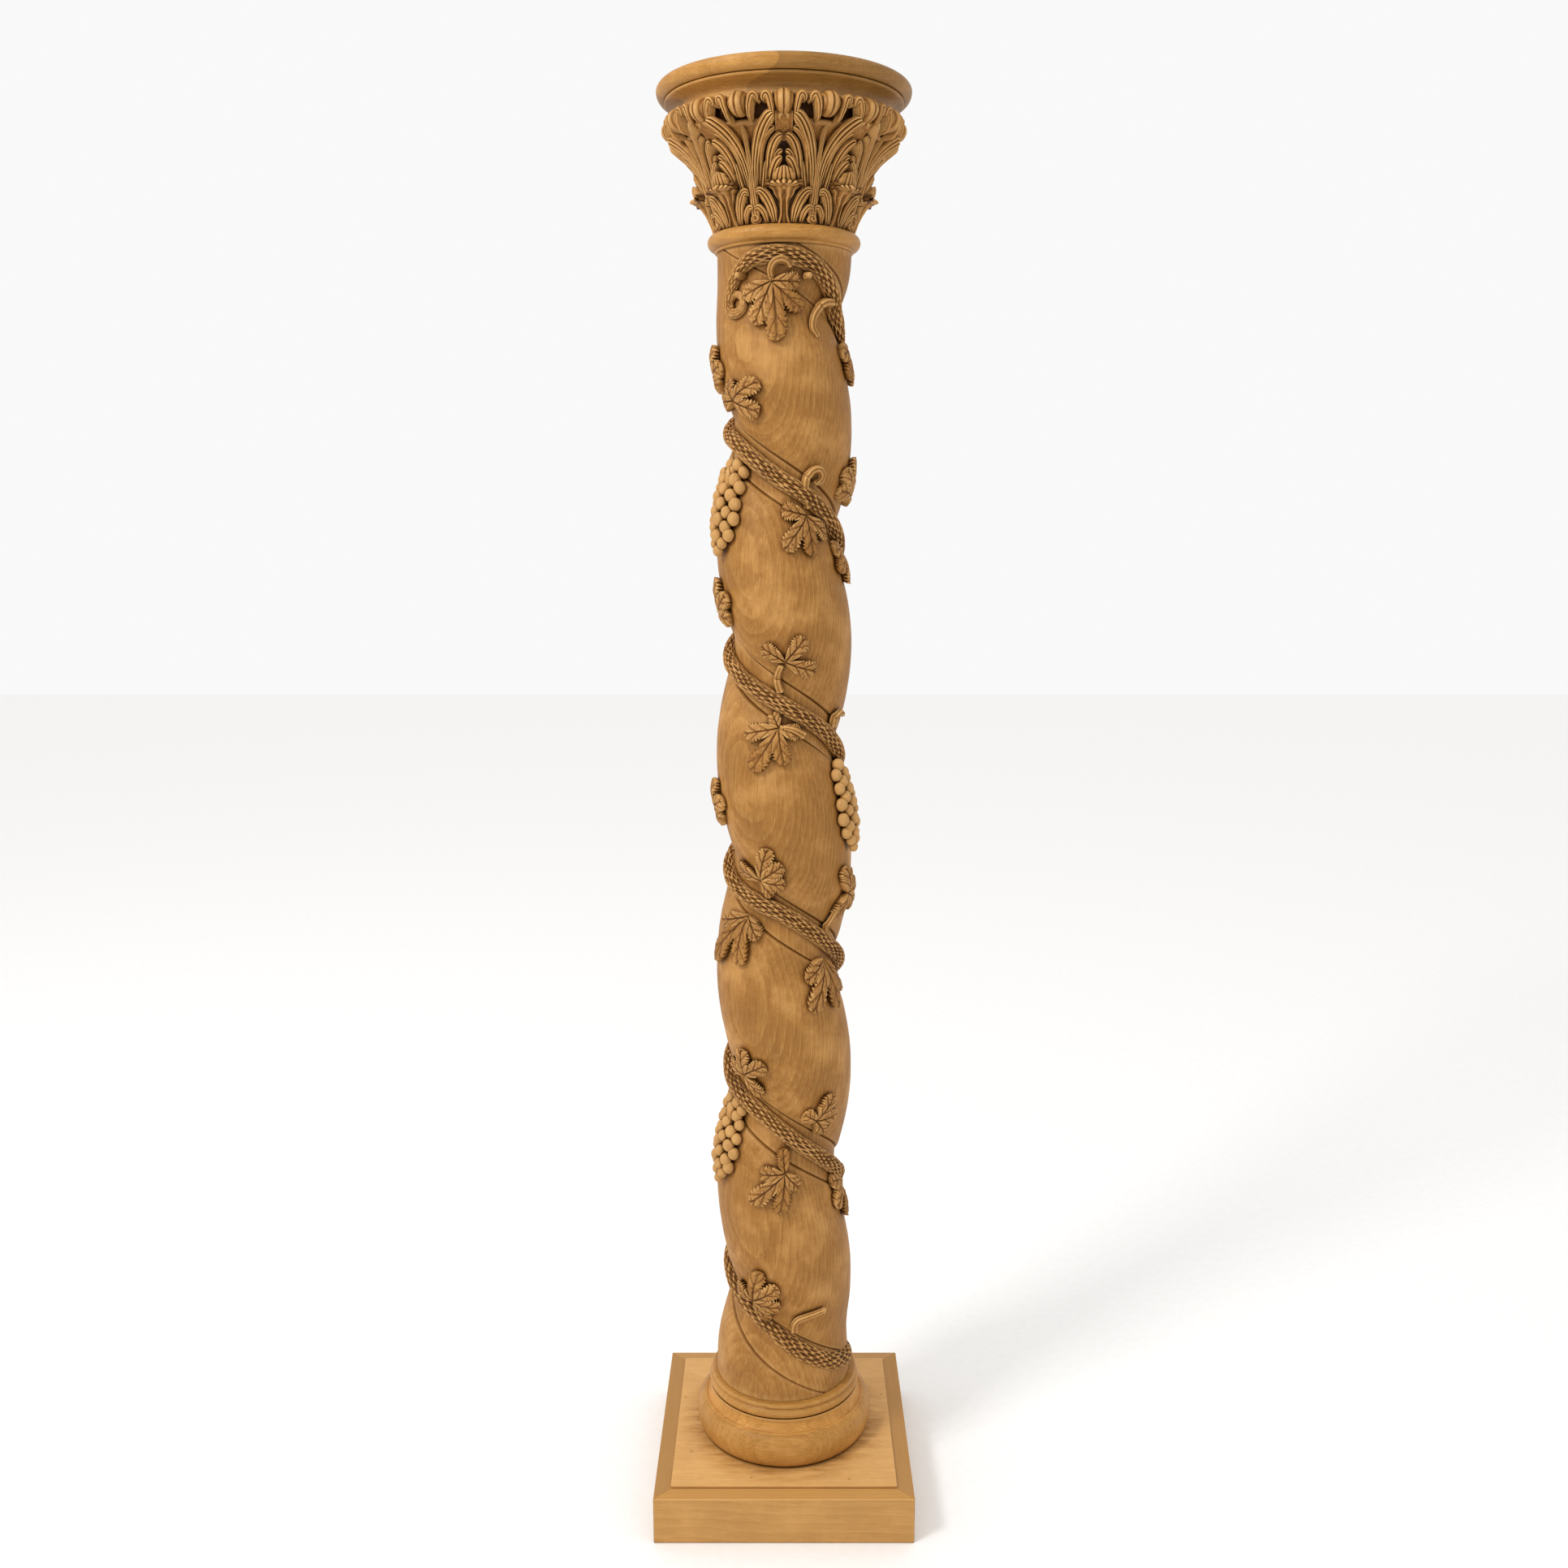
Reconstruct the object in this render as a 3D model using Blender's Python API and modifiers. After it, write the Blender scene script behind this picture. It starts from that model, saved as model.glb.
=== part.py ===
"""Carved wooden column: a twisted shaft with a climbing vine, on a turned base and a square plinth,
under a leaf capital and a round cap. Metres, +Z up, front towards -Y, resting on the plinth."""

import math

import bmesh
import bpy
from mathutils import Matrix, Vector

# Clearance between two pieces that touch
GAP = 0.0003

# Plinth: a square block, and the thinner board that the base stands on
PLINTH_SIDE = 0.440
PLINTH_HEIGHT = 0.083
PLINTH_EDGE = 0.0015
PANEL_MARGIN = 0.028
PANEL_THICKNESS = 0.005

# Base, turned: a large torus, a scotia, a fillet, a roll and a bead, from the bottom up
TORUS_RADIUS = 0.156
TORUS_HEIGHT = 0.060
SCOTIA_HEIGHT = 0.019
FILLET_HEIGHT = 0.003
ROLL_HEIGHT = 0.017
BEAD_HEIGHT = 0.009
BASE_STEP = 0.0035
BASE_SHOULDER = 0.00525

# Shaft: a left-handed twist that tapers upwards, its hollow fading out at both ends
SHAFT_HEIGHT = 1.914
SHAFT_FOOT_RADIUS = 0.1205
SHAFT_NECK_RADIUS = 0.1070
TWIST_TURNS = 5.281
TWIST_GROWTH = 0.0224
EDGE_TURN = 0.183
HOLLOW_SHARE = 0.22
HOLLOW_DEPTH = 0.029
LOBE_FULLNESS = 0.8
LIP_HEIGHT = 0.004
LIP_TURN = 0.012
FADE_HEIGHT = 0.13
FADE_LEFT = 0.12

# Vine, leaves and grapes on the shaft
VINE_RADIUS = 0.0140
VINE_SINK = 0.009
VINE_TIP = 0.62
LEAF_LIFT = 0.010
GRAPE_RADIUS = 0.0108

# Astragal, turned: a roll on a thin fillet
ASTRAGAL_HEIGHT = 0.0225
ASTRAGAL_FILLET = 0.004
ASTRAGAL_STEP = 0.00225

# Capital: a bell with leaves, spreading upwards
BELL_HEIGHT = 0.171
BELL_SET_IN = 0.003
BELL_TOP_RADIUS = 0.167
BELL_SPREAD = 0.040
BELL_FLARE = 0.098
BELL_FLARE_POWER = 5.2
CAPITAL_FOLDS = 8
CURL_RADIUS = 0.0165
FROND_LIFT = 0.008
FROND_START = 0.12
FROND_REACH = 0.70
STALK_REACH = 0.74
COLLAR_START = 0.015
COLLAR_LEAF_HEIGHT = 0.052

# Abacus, turned: a neck, a cove, a bead and a rounded rim
ABACUS_RADIUS = 0.198
ABACUS_HEIGHT = 0.047
RIM_HEIGHT = 0.023
RIM_BEAD = 0.005
RIM_OVERHANG = 0.012
NECK_SET_IN = 0.002
NECK_HEIGHT = 0.006

# Facets of the turned pieces and of the twist
TURNED_STEPS = 26
TWIST_STEPS = 24
LOBE_STEPS = 6

# Joining of carved relief: points this close are one, and this share of the facets is kept
WELD = 0.00002
SHAFT_FACETS = 0.37
CAPITAL_FACETS = 0.46
CUT_ALLOWANCE = 0.012

# Levels and radii where one piece stands on the next
PANEL_BOTTOM = PLINTH_HEIGHT + GAP
BASE_BOTTOM = PANEL_BOTTOM + PANEL_THICKNESS + GAP
BASE_HEIGHT = TORUS_HEIGHT + SCOTIA_HEIGHT + FILLET_HEIGHT + ROLL_HEIGHT + BEAD_HEIGHT
SHAFT_BOTTOM = BASE_BOTTOM + BASE_HEIGHT + GAP
SHAFT_TOP = SHAFT_BOTTOM + SHAFT_HEIGHT
ASTRAGAL_BOTTOM = SHAFT_TOP + GAP
CAPITAL_BOTTOM = ASTRAGAL_BOTTOM + ASTRAGAL_FILLET + ASTRAGAL_HEIGHT + GAP
ABACUS_BOTTOM = CAPITAL_BOTTOM + BELL_HEIGHT + GAP
BASE_SEAT_RADIUS = SHAFT_FOOT_RADIUS + BASE_SHOULDER
BELL_FOOT_RADIUS = SHAFT_NECK_RADIUS - BELL_SET_IN
ABACUS_NECK_RADIUS = BELL_TOP_RADIUS - NECK_SET_IN
RELIEF_ROOT = SHAFT_NECK_RADIUS - 2.0 * HOLLOW_DEPTH

# The vine's run, from its curl at the top: degrees round the shaft, counted on from turn to turn, with 0 at
# the front, and height as a share of the shaft
VINE_RUN = (
    (-52, 0.9560), (-45, 0.9745), (-29, 0.9880), (-8, 0.9912), (13, 0.9890), (32, 0.9800), (51, 0.9640),
    (66, 0.9475), (110, 0.9230), (200, 0.8830), (270, 0.8560), (302, 0.8465), (352, 0.8196), (386, 0.8035),
    (422, 0.7812), (500, 0.7330), (600, 0.6830), (662, 0.6564), (712, 0.6351), (758, 0.6131), (796, 0.5900),
    (870, 0.5440), (960, 0.4960), (1021, 0.4700), (1072, 0.4541), (1101, 0.4396), (1142, 0.4143),
    (1230, 0.3640), (1320, 0.3140), (1384, 0.2840), (1413, 0.2706), (1432, 0.2585), (1470, 0.2321),
    (1528, 0.1951), (1600, 0.1590), (1690, 0.1140), (1746, 0.0859), (1778, 0.0700), (1806, 0.0541),
    (1856, 0.0290), (1915, 0.0130),
)

# Leaves: degrees round, share of the shaft's height, size, way the middle lobe points (0 down, 90 towards
# larger angles), degrees between lobes, and number of lobes
LEAVES = (
    (-10, 0.9712, 0.086, 11, 36, 5),
    (-47, 0.8801, 0.056, 100, 52, 5),
    (23, 0.7884, 0.066, -3, 48, 5),
    (1, 0.6689, 0.052, 150, 84, 3),
    (-5, 0.6134, 0.076, -34, 48, 5),
    (-22, 0.4810, 0.058, 130, 46, 5),
    (66, 0.4647, 0.058, 160, 50, 5),
    (-38, 0.4475, 0.076, -30, 46, 5),
    (48, 0.4085, 0.080, -8, 42, 5),
    (-37, 0.3051, 0.056, 140, 48, 5),
    (32, 0.2638, 0.052, 150, 50, 5),
    (1, 0.2175, 0.074, -44, 46, 5),
    (-29, 0.0921, 0.066, 124, 46, 5),
    (80, 0.9250, 0.062, 20, 46, 5),
    (84, 0.8060, 0.060, 170, 48, 5),
    (74, 0.7620, 0.058, 10, 46, 5),
    (-86, 0.9000, 0.056, 160, 46, 5),
    (-74, 0.7060, 0.060, 175, 46, 5),
    (-82, 0.5350, 0.060, 170, 46, 5),
    (76, 0.1930, 0.066, -10, 46, 5),
    (150, 0.8560, 0.066, 10, 46, 5),
    (196, 0.6560, 0.062, 165, 46, 5),
    (140, 0.5060, 0.066, -20, 46, 5),
    (214, 0.3500, 0.062, 30, 46, 5),
    (160, 0.1130, 0.066, 170, 46, 5),
)

# Bunches of grapes: degrees round, share of height of the top, and grapes in each row going down
BUNCHES = (
    (-60, 0.8330, (2, 3, 3, 3, 3, 2, 2, 1)),
    (68, 0.5800, (1, 2, 3, 3, 2, 2, 2, 1)),
    (-62, 0.2760, (2, 3, 3, 3, 2, 2, 2, 1)),
    (170, 0.6980, (2, 3, 3, 3, 2, 2, 1)),
    (205, 0.1980, (2, 3, 3, 2, 2, 1)),
)

# Short side shoots: each a run of degrees round, share of height and lift from the surface
SHOOTS = (
    ((50, 0.958, 0.010), (38, 0.956, 0.013), (28, 0.947, 0.010), (26, 0.937, 0.004), (32, 0.930, 0.000)),
    ((24, 0.800, 0.004), (27, 0.812, 0.009), (36, 0.820, 0.009), (42, 0.816, 0.005)),
    ((-4, 0.642, 0.002), (-7, 0.654, 0.006), (-2, 0.667, 0.008)),
    ((20, 0.606, 0.010), (8, 0.612, 0.014), (-4, 0.6134, 0.010)),
    ((50, 0.422, 0.004), (49, 0.440, 0.008), (62, 0.462, 0.008)),
    ((62, 0.610, 0.004), (64, 0.622, 0.010), (76, 0.620, 0.008)),
    ((10, 0.064, 0.002), (13, 0.078, 0.008), (38, 0.084, 0.006)),
    ((-8, 0.974, 0.010), (-14, 0.984, 0.014), (2, 0.988, 0.010)),
)


# Scene and material

def clear_scene():
    for old in list(bpy.data.objects):
        bpy.data.objects.remove(old, do_unlink=True)


def new_collection(name):
    made = bpy.data.collections.new(name)
    bpy.context.scene.collection.children.link(made)
    return made


def wood(name, colour, roughness):
    material = bpy.data.materials.new(name)
    material.use_nodes = True
    shader = material.node_tree.nodes["Principled BSDF"]
    shader.inputs["Base Color"].default_value = (*colour, 1.0)
    shader.inputs["Roughness"].default_value = roughness
    shader.inputs["Metallic"].default_value = 0.0
    return material


def object_from(bm, name, collection, material=None):
    bmesh.ops.recalc_face_normals(bm, faces=bm.faces)
    mesh = bpy.data.meshes.new(name)
    bm.to_mesh(mesh)
    bm.free()
    made = bpy.data.objects.new(name, mesh)
    collection.objects.link(made)
    if material:
        mesh.materials.append(material)
    return made


def helper(bm, name, collection):
    made = object_from(bm, name, collection)
    made.hide_render = True
    made.display_type = "WIRE"
    return made


def turned_out(degrees):
    """The way out from the axis at this angle."""
    angle = math.radians(degrees)
    return Vector((math.sin(angle), -math.cos(angle), 0.0))


# Turned pieces

def arc(centre, radii, start, end, points):
    """Points on an ellipse about (radius, height), from start to end degrees, 0 outwards and 90 up."""
    turned = []
    for index in range(points):
        angle = math.radians(start + (end - start) * index / (points - 1))
        turned.append((centre[0] + radii[0] * math.cos(angle), centre[1] + radii[1] * math.sin(angle)))
    return turned


def turned_piece(name, outline, collection, material, steps=TURNED_STEPS):
    """A closed outline of (radius, height), top to bottom and both ends on the axis, turned round it."""
    mesh = bpy.data.meshes.new(name)
    start = math.pi / steps
    corners = [(radius * math.cos(start), radius * math.sin(start), height) for radius, height in outline]
    mesh.from_pydata(corners, [(index, index + 1) for index in range(len(corners) - 1)], [])
    piece = bpy.data.objects.new(name, mesh)
    collection.objects.link(piece)
    mesh.materials.append(material)
    screw = piece.modifiers.new("Turn", "SCREW")
    screw.steps = screw.render_steps = steps
    screw.use_merge_vertices = True
    screw.merge_threshold = 0.0001
    screw.use_smooth_shade = True
    return piece


def make_base(collection, material):
    bead = BEAD_HEIGHT / 2
    roll = ROLL_HEIGHT / 2
    torus = TORUS_HEIGHT / 2
    roll_radius = BASE_SEAT_RADIUS + bead + BASE_STEP
    fillet_radius = roll_radius - BASE_STEP / 2
    neck = fillet_radius + 2 * BASE_STEP
    scotia_bottom = BASE_BOTTOM + TORUS_HEIGHT
    scotia_top = scotia_bottom + SCOTIA_HEIGHT
    roll_bottom = scotia_top + FILLET_HEIGHT
    bead_bottom = roll_bottom + ROLL_HEIGHT
    top = BASE_BOTTOM + BASE_HEIGHT
    outline = [(0.0, top), (BASE_SEAT_RADIUS, top)]
    outline += arc((BASE_SEAT_RADIUS, bead_bottom + bead), (bead, bead), 70, -40, 3)
    outline += arc((roll_radius - roll, roll_bottom + roll), (roll, roll), 60, -60, 4)
    outline += [(fillet_radius, roll_bottom), (fillet_radius, scotia_top)]
    outline += arc((neck, scotia_top), (neck - fillet_radius + BASE_STEP, SCOTIA_HEIGHT), 195, 262, 3)
    outline += [(neck + BASE_STEP / 2, scotia_bottom)]
    outline += arc((neck, BASE_BOTTOM + torus), (TORUS_RADIUS - neck, torus), 62, -70, 6)
    outline += [(neck, BASE_BOTTOM), (0.0, BASE_BOTTOM)]
    return turned_piece("base", outline, collection, material)


def make_astragal(collection, material):
    roll = ASTRAGAL_HEIGHT / 2
    inside = SHAFT_NECK_RADIUS + ASTRAGAL_STEP
    middle = ASTRAGAL_BOTTOM + ASTRAGAL_FILLET + roll
    outline = [(0.0, middle + roll), (inside, middle + roll)]
    outline += arc((inside, middle), (roll, roll), 70, -70, 5)
    outline += [(inside, middle - roll), (inside - ASTRAGAL_FILLET / 2, ASTRAGAL_BOTTOM)]
    outline += [(0.0, ASTRAGAL_BOTTOM)]
    return turned_piece("astragal", outline, collection, material)


def make_abacus(collection, material):
    """The rim's widest line lies above its middle: a short quarter round over a longer one."""
    top = ABACUS_BOTTOM + ABACUS_HEIGHT
    upper = RIM_HEIGHT * 0.4
    lower = RIM_HEIGHT - upper
    bead = RIM_BEAD / 2
    bead_radius = ABACUS_RADIUS - RIM_OVERHANG
    rim_bottom = top - RIM_HEIGHT
    cove_top = rim_bottom - RIM_BEAD
    neck_top = ABACUS_BOTTOM + NECK_HEIGHT
    outline = [(0.0, top), (ABACUS_RADIUS - RIM_OVERHANG, top)]
    outline += arc((bead_radius, top - upper), (RIM_OVERHANG, upper), 70, 0, 3)
    outline += arc((bead_radius, top - upper), (RIM_OVERHANG, lower), -28, -80, 3)
    outline += [(bead_radius - bead / 2, rim_bottom)]
    outline += arc((bead_radius - bead, rim_bottom - bead), (bead, bead), 50, -50, 3)
    cove = (bead_radius - ABACUS_NECK_RADIUS, cove_top - neck_top)
    outline += arc((bead_radius, neck_top), cove, 110, 180, 4)
    outline += [(ABACUS_NECK_RADIUS, ABACUS_BOTTOM), (0.0, ABACUS_BOTTOM)]
    return turned_piece("abacus", outline, collection, material)


# Plinth

def make_block(name, side, bottom, height, collection, material):
    bm = bmesh.new()
    size = Matrix.Diagonal((side, side, height, 1.0))
    bmesh.ops.create_cube(bm, size=1.0, matrix=Matrix.Translation((0.0, 0.0, bottom + height / 2)) @ size)
    block = object_from(bm, name, collection, material)
    bevel = block.modifiers.new("Eased edge", "BEVEL")
    bevel.width = PLINTH_EDGE
    bevel.segments = 1
    return block


# The twist: its surface as a radius at any angle and height

def smooth(value):
    value = min(max(value, 0.0), 1.0)
    return value * value * (3.0 - 2.0 * value)


def fall_at(turn):
    """Share of the shaft's height that the twist has fallen through after this many turns from the top."""
    return (turn + TWIST_GROWTH * turn * turn) / (TWIST_TURNS + TWIST_GROWTH * TWIST_TURNS * TWIST_TURNS)


def turn_at(height):
    """Turns from the top at this height, the reverse of fall_at."""
    whole = TWIST_TURNS + TWIST_GROWTH * TWIST_TURNS * TWIST_TURNS
    fallen = (SHAFT_TOP - height) / SHAFT_HEIGHT * whole
    return (math.sqrt(max(1.0 + 4.0 * TWIST_GROWTH * fallen, 0.0)) - 1.0) / (2.0 * TWIST_GROWTH)


def height_at(share):
    return SHAFT_BOTTOM + share * SHAFT_HEIGHT


def full_radius(height):
    share = (height - SHAFT_BOTTOM) / SHAFT_HEIGHT
    return SHAFT_FOOT_RADIUS + (SHAFT_NECK_RADIUS - SHAFT_FOOT_RADIUS) * share


def hollow_share(step):
    """How far in the surface is, 0 at a lobe's crown and 1 in the hollow, at a step (0 to 1) up one turn."""
    if step < HOLLOW_SHARE:
        return 1.0
    rise = (step - HOLLOW_SHARE) / (1.0 - HOLLOW_SHARE)
    lip = LIP_HEIGHT / HOLLOW_DEPTH
    return 1.0 - (1.0 - lip) * math.sin(math.pi * rise) ** LOBE_FULLNESS - lip


def fade(height):
    """The hollow's depth as a share of its full depth: shallow at both ends of the shaft."""
    from_end = min(SHAFT_TOP - height, height - SHAFT_BOTTOM)
    return FADE_LEFT + (1.0 - FADE_LEFT) * smooth(from_end / FADE_HEIGHT)


def core_radius(degrees, height):
    turn = turn_at(height) - EDGE_TURN - degrees / 360.0
    step = math.ceil(turn) - turn
    return full_radius(height) - HOLLOW_DEPTH * hollow_share(step) * fade(height)


def on_shaft(degrees, height, lift):
    """A point at this angle and height, lifted from the core's surface."""
    return turned_out(degrees) * (core_radius(degrees, height) + lift) + Vector((0.0, 0.0, height))


def degrees_round(length, radius):
    """The angle that this length takes up round the axis."""
    return math.degrees(length / radius)


def make_core(name, collection, material):
    """One turn's profile swept down the helix, welded to the turn above it, then tapered and cut level."""
    steps = [0.0, LIP_TURN, HOLLOW_SHARE - LIP_TURN]
    steps += [HOLLOW_SHARE + (1.0 - HOLLOW_SHARE) * index / LOBE_STEPS for index in range(LOBE_STEPS)]
    steps.append(1.0)
    spare_turns = 1.4
    columns = round((TWIST_TURNS + 2.0 * spare_turns) * TWIST_STEPS)
    full_turn = 2.0 * math.pi
    bm = bmesh.new()
    start = [bm.verts.new((0.0, -1.0, step + spare_turns)) for step in steps]
    edges = [bm.edges.new(pair) for pair in zip(start, start[1:])]
    bmesh.ops.rotate(bm, verts=start, matrix=Matrix.Rotation(-spare_turns * full_turn, 3, "Z"))
    bmesh.ops.spin(bm, geom=start + edges, cent=(0.0, 0.0, 0.0), axis=(0.0, 0.0, 1.0), steps=columns,
                   dvec=(0.0, 0.0, -1.0 / TWIST_STEPS), angle=columns / TWIST_STEPS * full_turn)
    bmesh.ops.remove_doubles(bm, verts=bm.verts, dist=1e-4)
    for vert in bm.verts:
        angle = math.atan2(vert.co.x, -vert.co.y)
        height = SHAFT_TOP - fall_at(EDGE_TURN - vert.co.z) * SHAFT_HEIGHT
        step = vert.co.z + angle / full_turn
        step -= math.floor(step + 1e-5)
        inward = 1.0 - LIP_HEIGHT / HOLLOW_DEPTH if step < LIP_TURN / 2 else hollow_share(step)
        radius = full_radius(height) - HOLLOW_DEPTH * inward * fade(height)
        vert.co = (radius * math.sin(angle), -radius * math.cos(angle), height)
    cut_level(bm, SHAFT_BOTTOM - CUT_ALLOWANCE, SHAFT_TOP + CUT_ALLOWANCE)
    return object_from(bm, name, collection, material)


# Vine and shoots: tubes that follow the surface

def eased_run(points, pieces):
    """Points on a smooth curve through the given ones, with this many pieces between each two."""
    run = []
    for index in range(len(points) - 1):
        before = Vector(points[max(index - 1, 0)])
        here = Vector(points[index])
        there = Vector(points[index + 1])
        after = Vector(points[min(index + 2, len(points) - 1)])
        for piece in range(pieces):
            t = piece / pieces
            slope = there - before
            bend = 2.0 * before - 5.0 * here + 4.0 * there - after
            twist = 3.0 * here - before - 3.0 * there + after
            run.append(0.5 * (2.0 * here + slope * t + bend * t * t + twist * t ** 3))
    run.append(Vector(points[-1]))
    return run


def tube(name, points, radii, resolution, collection):
    """A round tube with closed ends, as a mesh."""
    curve = bpy.data.curves.new(name, "CURVE")
    curve.dimensions = "3D"
    curve.bevel_depth = 1.0
    curve.bevel_resolution = resolution
    curve.use_fill_caps = True
    spline = curve.splines.new("POLY")
    spline.points.add(len(points) - 1)
    for target, point, radius in zip(spline.points, points, radii):
        target.co = (*point, 1.0)
        target.radius = radius
    guide = bpy.data.objects.new(name + "_guide", curve)
    collection.objects.link(guide)
    bpy.context.view_layer.update()
    mesh = bpy.data.meshes.new_from_object(guide.evaluated_get(bpy.context.evaluated_depsgraph_get()))
    bm = bmesh.new()
    bm.from_mesh(mesh)
    bpy.data.objects.remove(guide, do_unlink=True)
    bpy.data.meshes.remove(mesh)
    bmesh.ops.remove_doubles(bm, verts=bm.verts, dist=1e-6)
    return helper(bm, name, collection)


def spaced(run, spacing):
    """The points of a run that lie at least this many degrees apart, twice as close before the front."""
    kept = [run[0]]
    for spot in run[1:]:
        if spot.x - kept[-1].x >= (spacing / 2 if spot.x < 0 else spacing):
            kept.append(spot)
    return kept


def curl_at(degrees, height):
    """The small scroll that the vine's upper end rolls into, from its tip to the vine: points and radii."""
    reach = VINE_RADIUS + 0.001
    centre = degrees + degrees_round(reach, SHAFT_NECK_RADIUS)
    points, radii = [], []
    for index in range(7, 0, -1):
        angle = math.radians(180 + 38 * index)
        drawn_in = reach * (1.0 - 0.05 * index)
        spot = centre + degrees_round(drawn_in * math.cos(angle), SHAFT_NECK_RADIUS)
        points.append(on_shaft(spot, height + drawn_in * math.sin(angle), VINE_SINK / 2))
        radii.append(VINE_RADIUS * (VINE_TIP - 0.04 * index))
    return points, radii


def make_vine(collection):
    run = spaced(eased_run([(degrees, height_at(share), 0.0) for degrees, share in VINE_RUN], 4), 18.0)
    points, radii = curl_at(run[0].x, run[0].y)
    thinning = 90.0
    for spot in run:
        from_end = min(spot.x - run[0].x, run[-1].x - spot.x)
        points.append(on_shaft(spot.x, spot.y, VINE_RADIUS - VINE_SINK))
        radii.append(VINE_RADIUS * min(1.0, VINE_TIP + from_end / thinning))
    return tube("vine", points, radii, 1, collection)


def make_shoots(collection):
    thick, thin = 0.47, 0.30
    for index, run in enumerate(SHOOTS):
        points = [on_shaft(spot.x, height_at(spot.y), spot.z) for spot in eased_run(run, 2)]
        last = len(points) - 1
        radii = [VINE_RADIUS * (thick - (thick - thin) * place / last) for place in range(last + 1)]
        tube("shoot_%02d" % index, points, radii, 0, collection)


# Leaves: a fan bent onto the shaft and extruded into the core

def leaf_reach(degrees, spread, lobes):
    """Distance from the leaf's joint to its edge, as a share of its size, in the way given."""
    least = 0.16
    notch = 0.62
    shorter = 0.10
    reach = least
    half = lobes // 2
    for lobe in range(-half, half + 1):
        away = abs((degrees - lobe * spread + 180.0) % 360.0 - 180.0) / (spread * 0.56)
        if away < 1.0:
            reach = max(reach, (1.0 - shorter * abs(lobe) ** 1.6) * (1.0 - notch * away ** 2.2))
    return reach


def make_leaf(name, degrees, share, size, way, spread, lobes, collection):
    """Four edge points to a lobe, and two more that close the fan behind the leaf's joint."""
    lobe_points = 4 * lobes
    half_fan = spread * (lobes // 2 + 0.5)
    behind = (360.0 - 2.0 * half_fan) / 3.0
    angles = [half_fan * (2.0 * index / lobe_points - 1.0) for index in range(lobe_points + 1)]
    angles += [half_fan + behind, half_fan + 2.0 * behind]
    bm = bmesh.new()
    bmesh.ops.create_circle(bm, cap_ends=True, cap_tris=True, segments=len(angles), radius=1.0)
    middle = min(bm.verts, key=lambda vert: vert.co.length)
    rim = [vert for vert in bm.verts if vert is not middle]
    rim.sort(key=lambda vert: math.atan2(vert.co.y, vert.co.x))
    local = {middle: (0.0, 0.0)}
    for vert, angle in zip(rim, angles):
        reach = size * leaf_reach(angle, spread, lobes)
        turned = math.radians(angle + way)
        local[vert] = (reach * math.sin(turned), -reach * math.cos(turned))
    made = bmesh.ops.extrude_face_region(bm, geom=bm.faces[:], use_keep_orig=True)
    inner = {vert: min(local, key=lambda outer: (outer.co - vert.co).length)
             for vert in made["geom"] if isinstance(vert, bmesh.types.BMVert)}
    margin = 0.002
    place = height_at(share)
    spots = {}
    for vert, (across, up) in local.items():
        spot = degrees + degrees_round(across, full_radius(place))
        spots[vert] = (spot, min(max(place + up, SHAFT_BOTTOM + margin), SHAFT_TOP - margin))
    for vert, outer in inner.items():
        spot, height = spots[outer]
        vert.co = turned_out(spot) * RELIEF_ROOT + Vector((0.0, 0.0, height))
    for vert, (spot, height) in spots.items():
        vert.co = on_shaft(spot, height, LEAF_LIFT)
    return helper(bm, name, collection)


# Grapes: rows of round berries on a mound

def make_ball(name, centre, radii, degrees, collection, segments=None):
    """A ball with radii across, out and up, at this angle: faceted evenly, or in so many segments."""
    bm = bmesh.new()
    if segments:
        bmesh.ops.create_uvsphere(bm, u_segments=segments[0], v_segments=segments[1], radius=1.0)
    else:
        bmesh.ops.create_icosphere(bm, subdivisions=1, radius=1.0)
    bmesh.ops.scale(bm, vec=radii, verts=bm.verts)
    bmesh.ops.rotate(bm, verts=bm.verts, matrix=Matrix.Rotation(math.radians(degrees), 3, "Z"))
    bmesh.ops.translate(bm, verts=bm.verts, vec=centre)
    return helper(bm, name, collection)


def make_bunch(index, degrees, share, rows, collection):
    """Each berry is turned by an angle of its own, and those in the middle of the bunch stand out most."""
    top = height_at(share)
    row_step = GRAPE_RADIUS * 1.72
    side_step = GRAPE_RADIUS * 1.75
    berry = GRAPE_RADIUS * 1.06
    half = row_step * len(rows) / 2
    mound = (GRAPE_RADIUS * 1.9, GRAPE_RADIUS * 1.7, half)
    make_ball("bunch_%d_mound" % index, on_shaft(degrees, top - half, 0.0), mound, degrees, collection)
    for row, count in enumerate(rows):
        for place in range(count):
            across = place - (count - 1) / 2.0
            down = row_step * (row + 0.5)
            along = down / half - 1.0
            bulge = GRAPE_RADIUS * (0.65 + 1.1 * (1.0 - (across / 2.0) ** 2) * (1.0 - along * along))
            spot = degrees + degrees_round(across * side_step, full_radius(top))
            make_ball("bunch_%d_%d_%d" % (index, row, place), on_shaft(spot, top - down, bulge),
                      (berry, berry, berry), 52 * row + 97 * place, collection)


# Joining relief to the piece that it is carved on

def islands_of(bm):
    """The connected groups of faces."""
    left = set(bm.faces)
    groups = []
    while left:
        group = {left.pop()}
        front = list(group)
        while front:
            face = front.pop()
            beside = {other for edge in face.edges for other in edge.link_faces} & left
            left -= beside
            group |= beside
            front.extend(beside)
        groups.append(group)
    return groups


def baked(piece):
    """The piece's modifiers worked into its mesh."""
    bpy.context.view_layer.update()
    mesh = bpy.data.meshes.new_from_object(piece.evaluated_get(bpy.context.evaluated_depsgraph_get()))
    piece.modifiers.clear()
    piece.data = mesh


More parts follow.
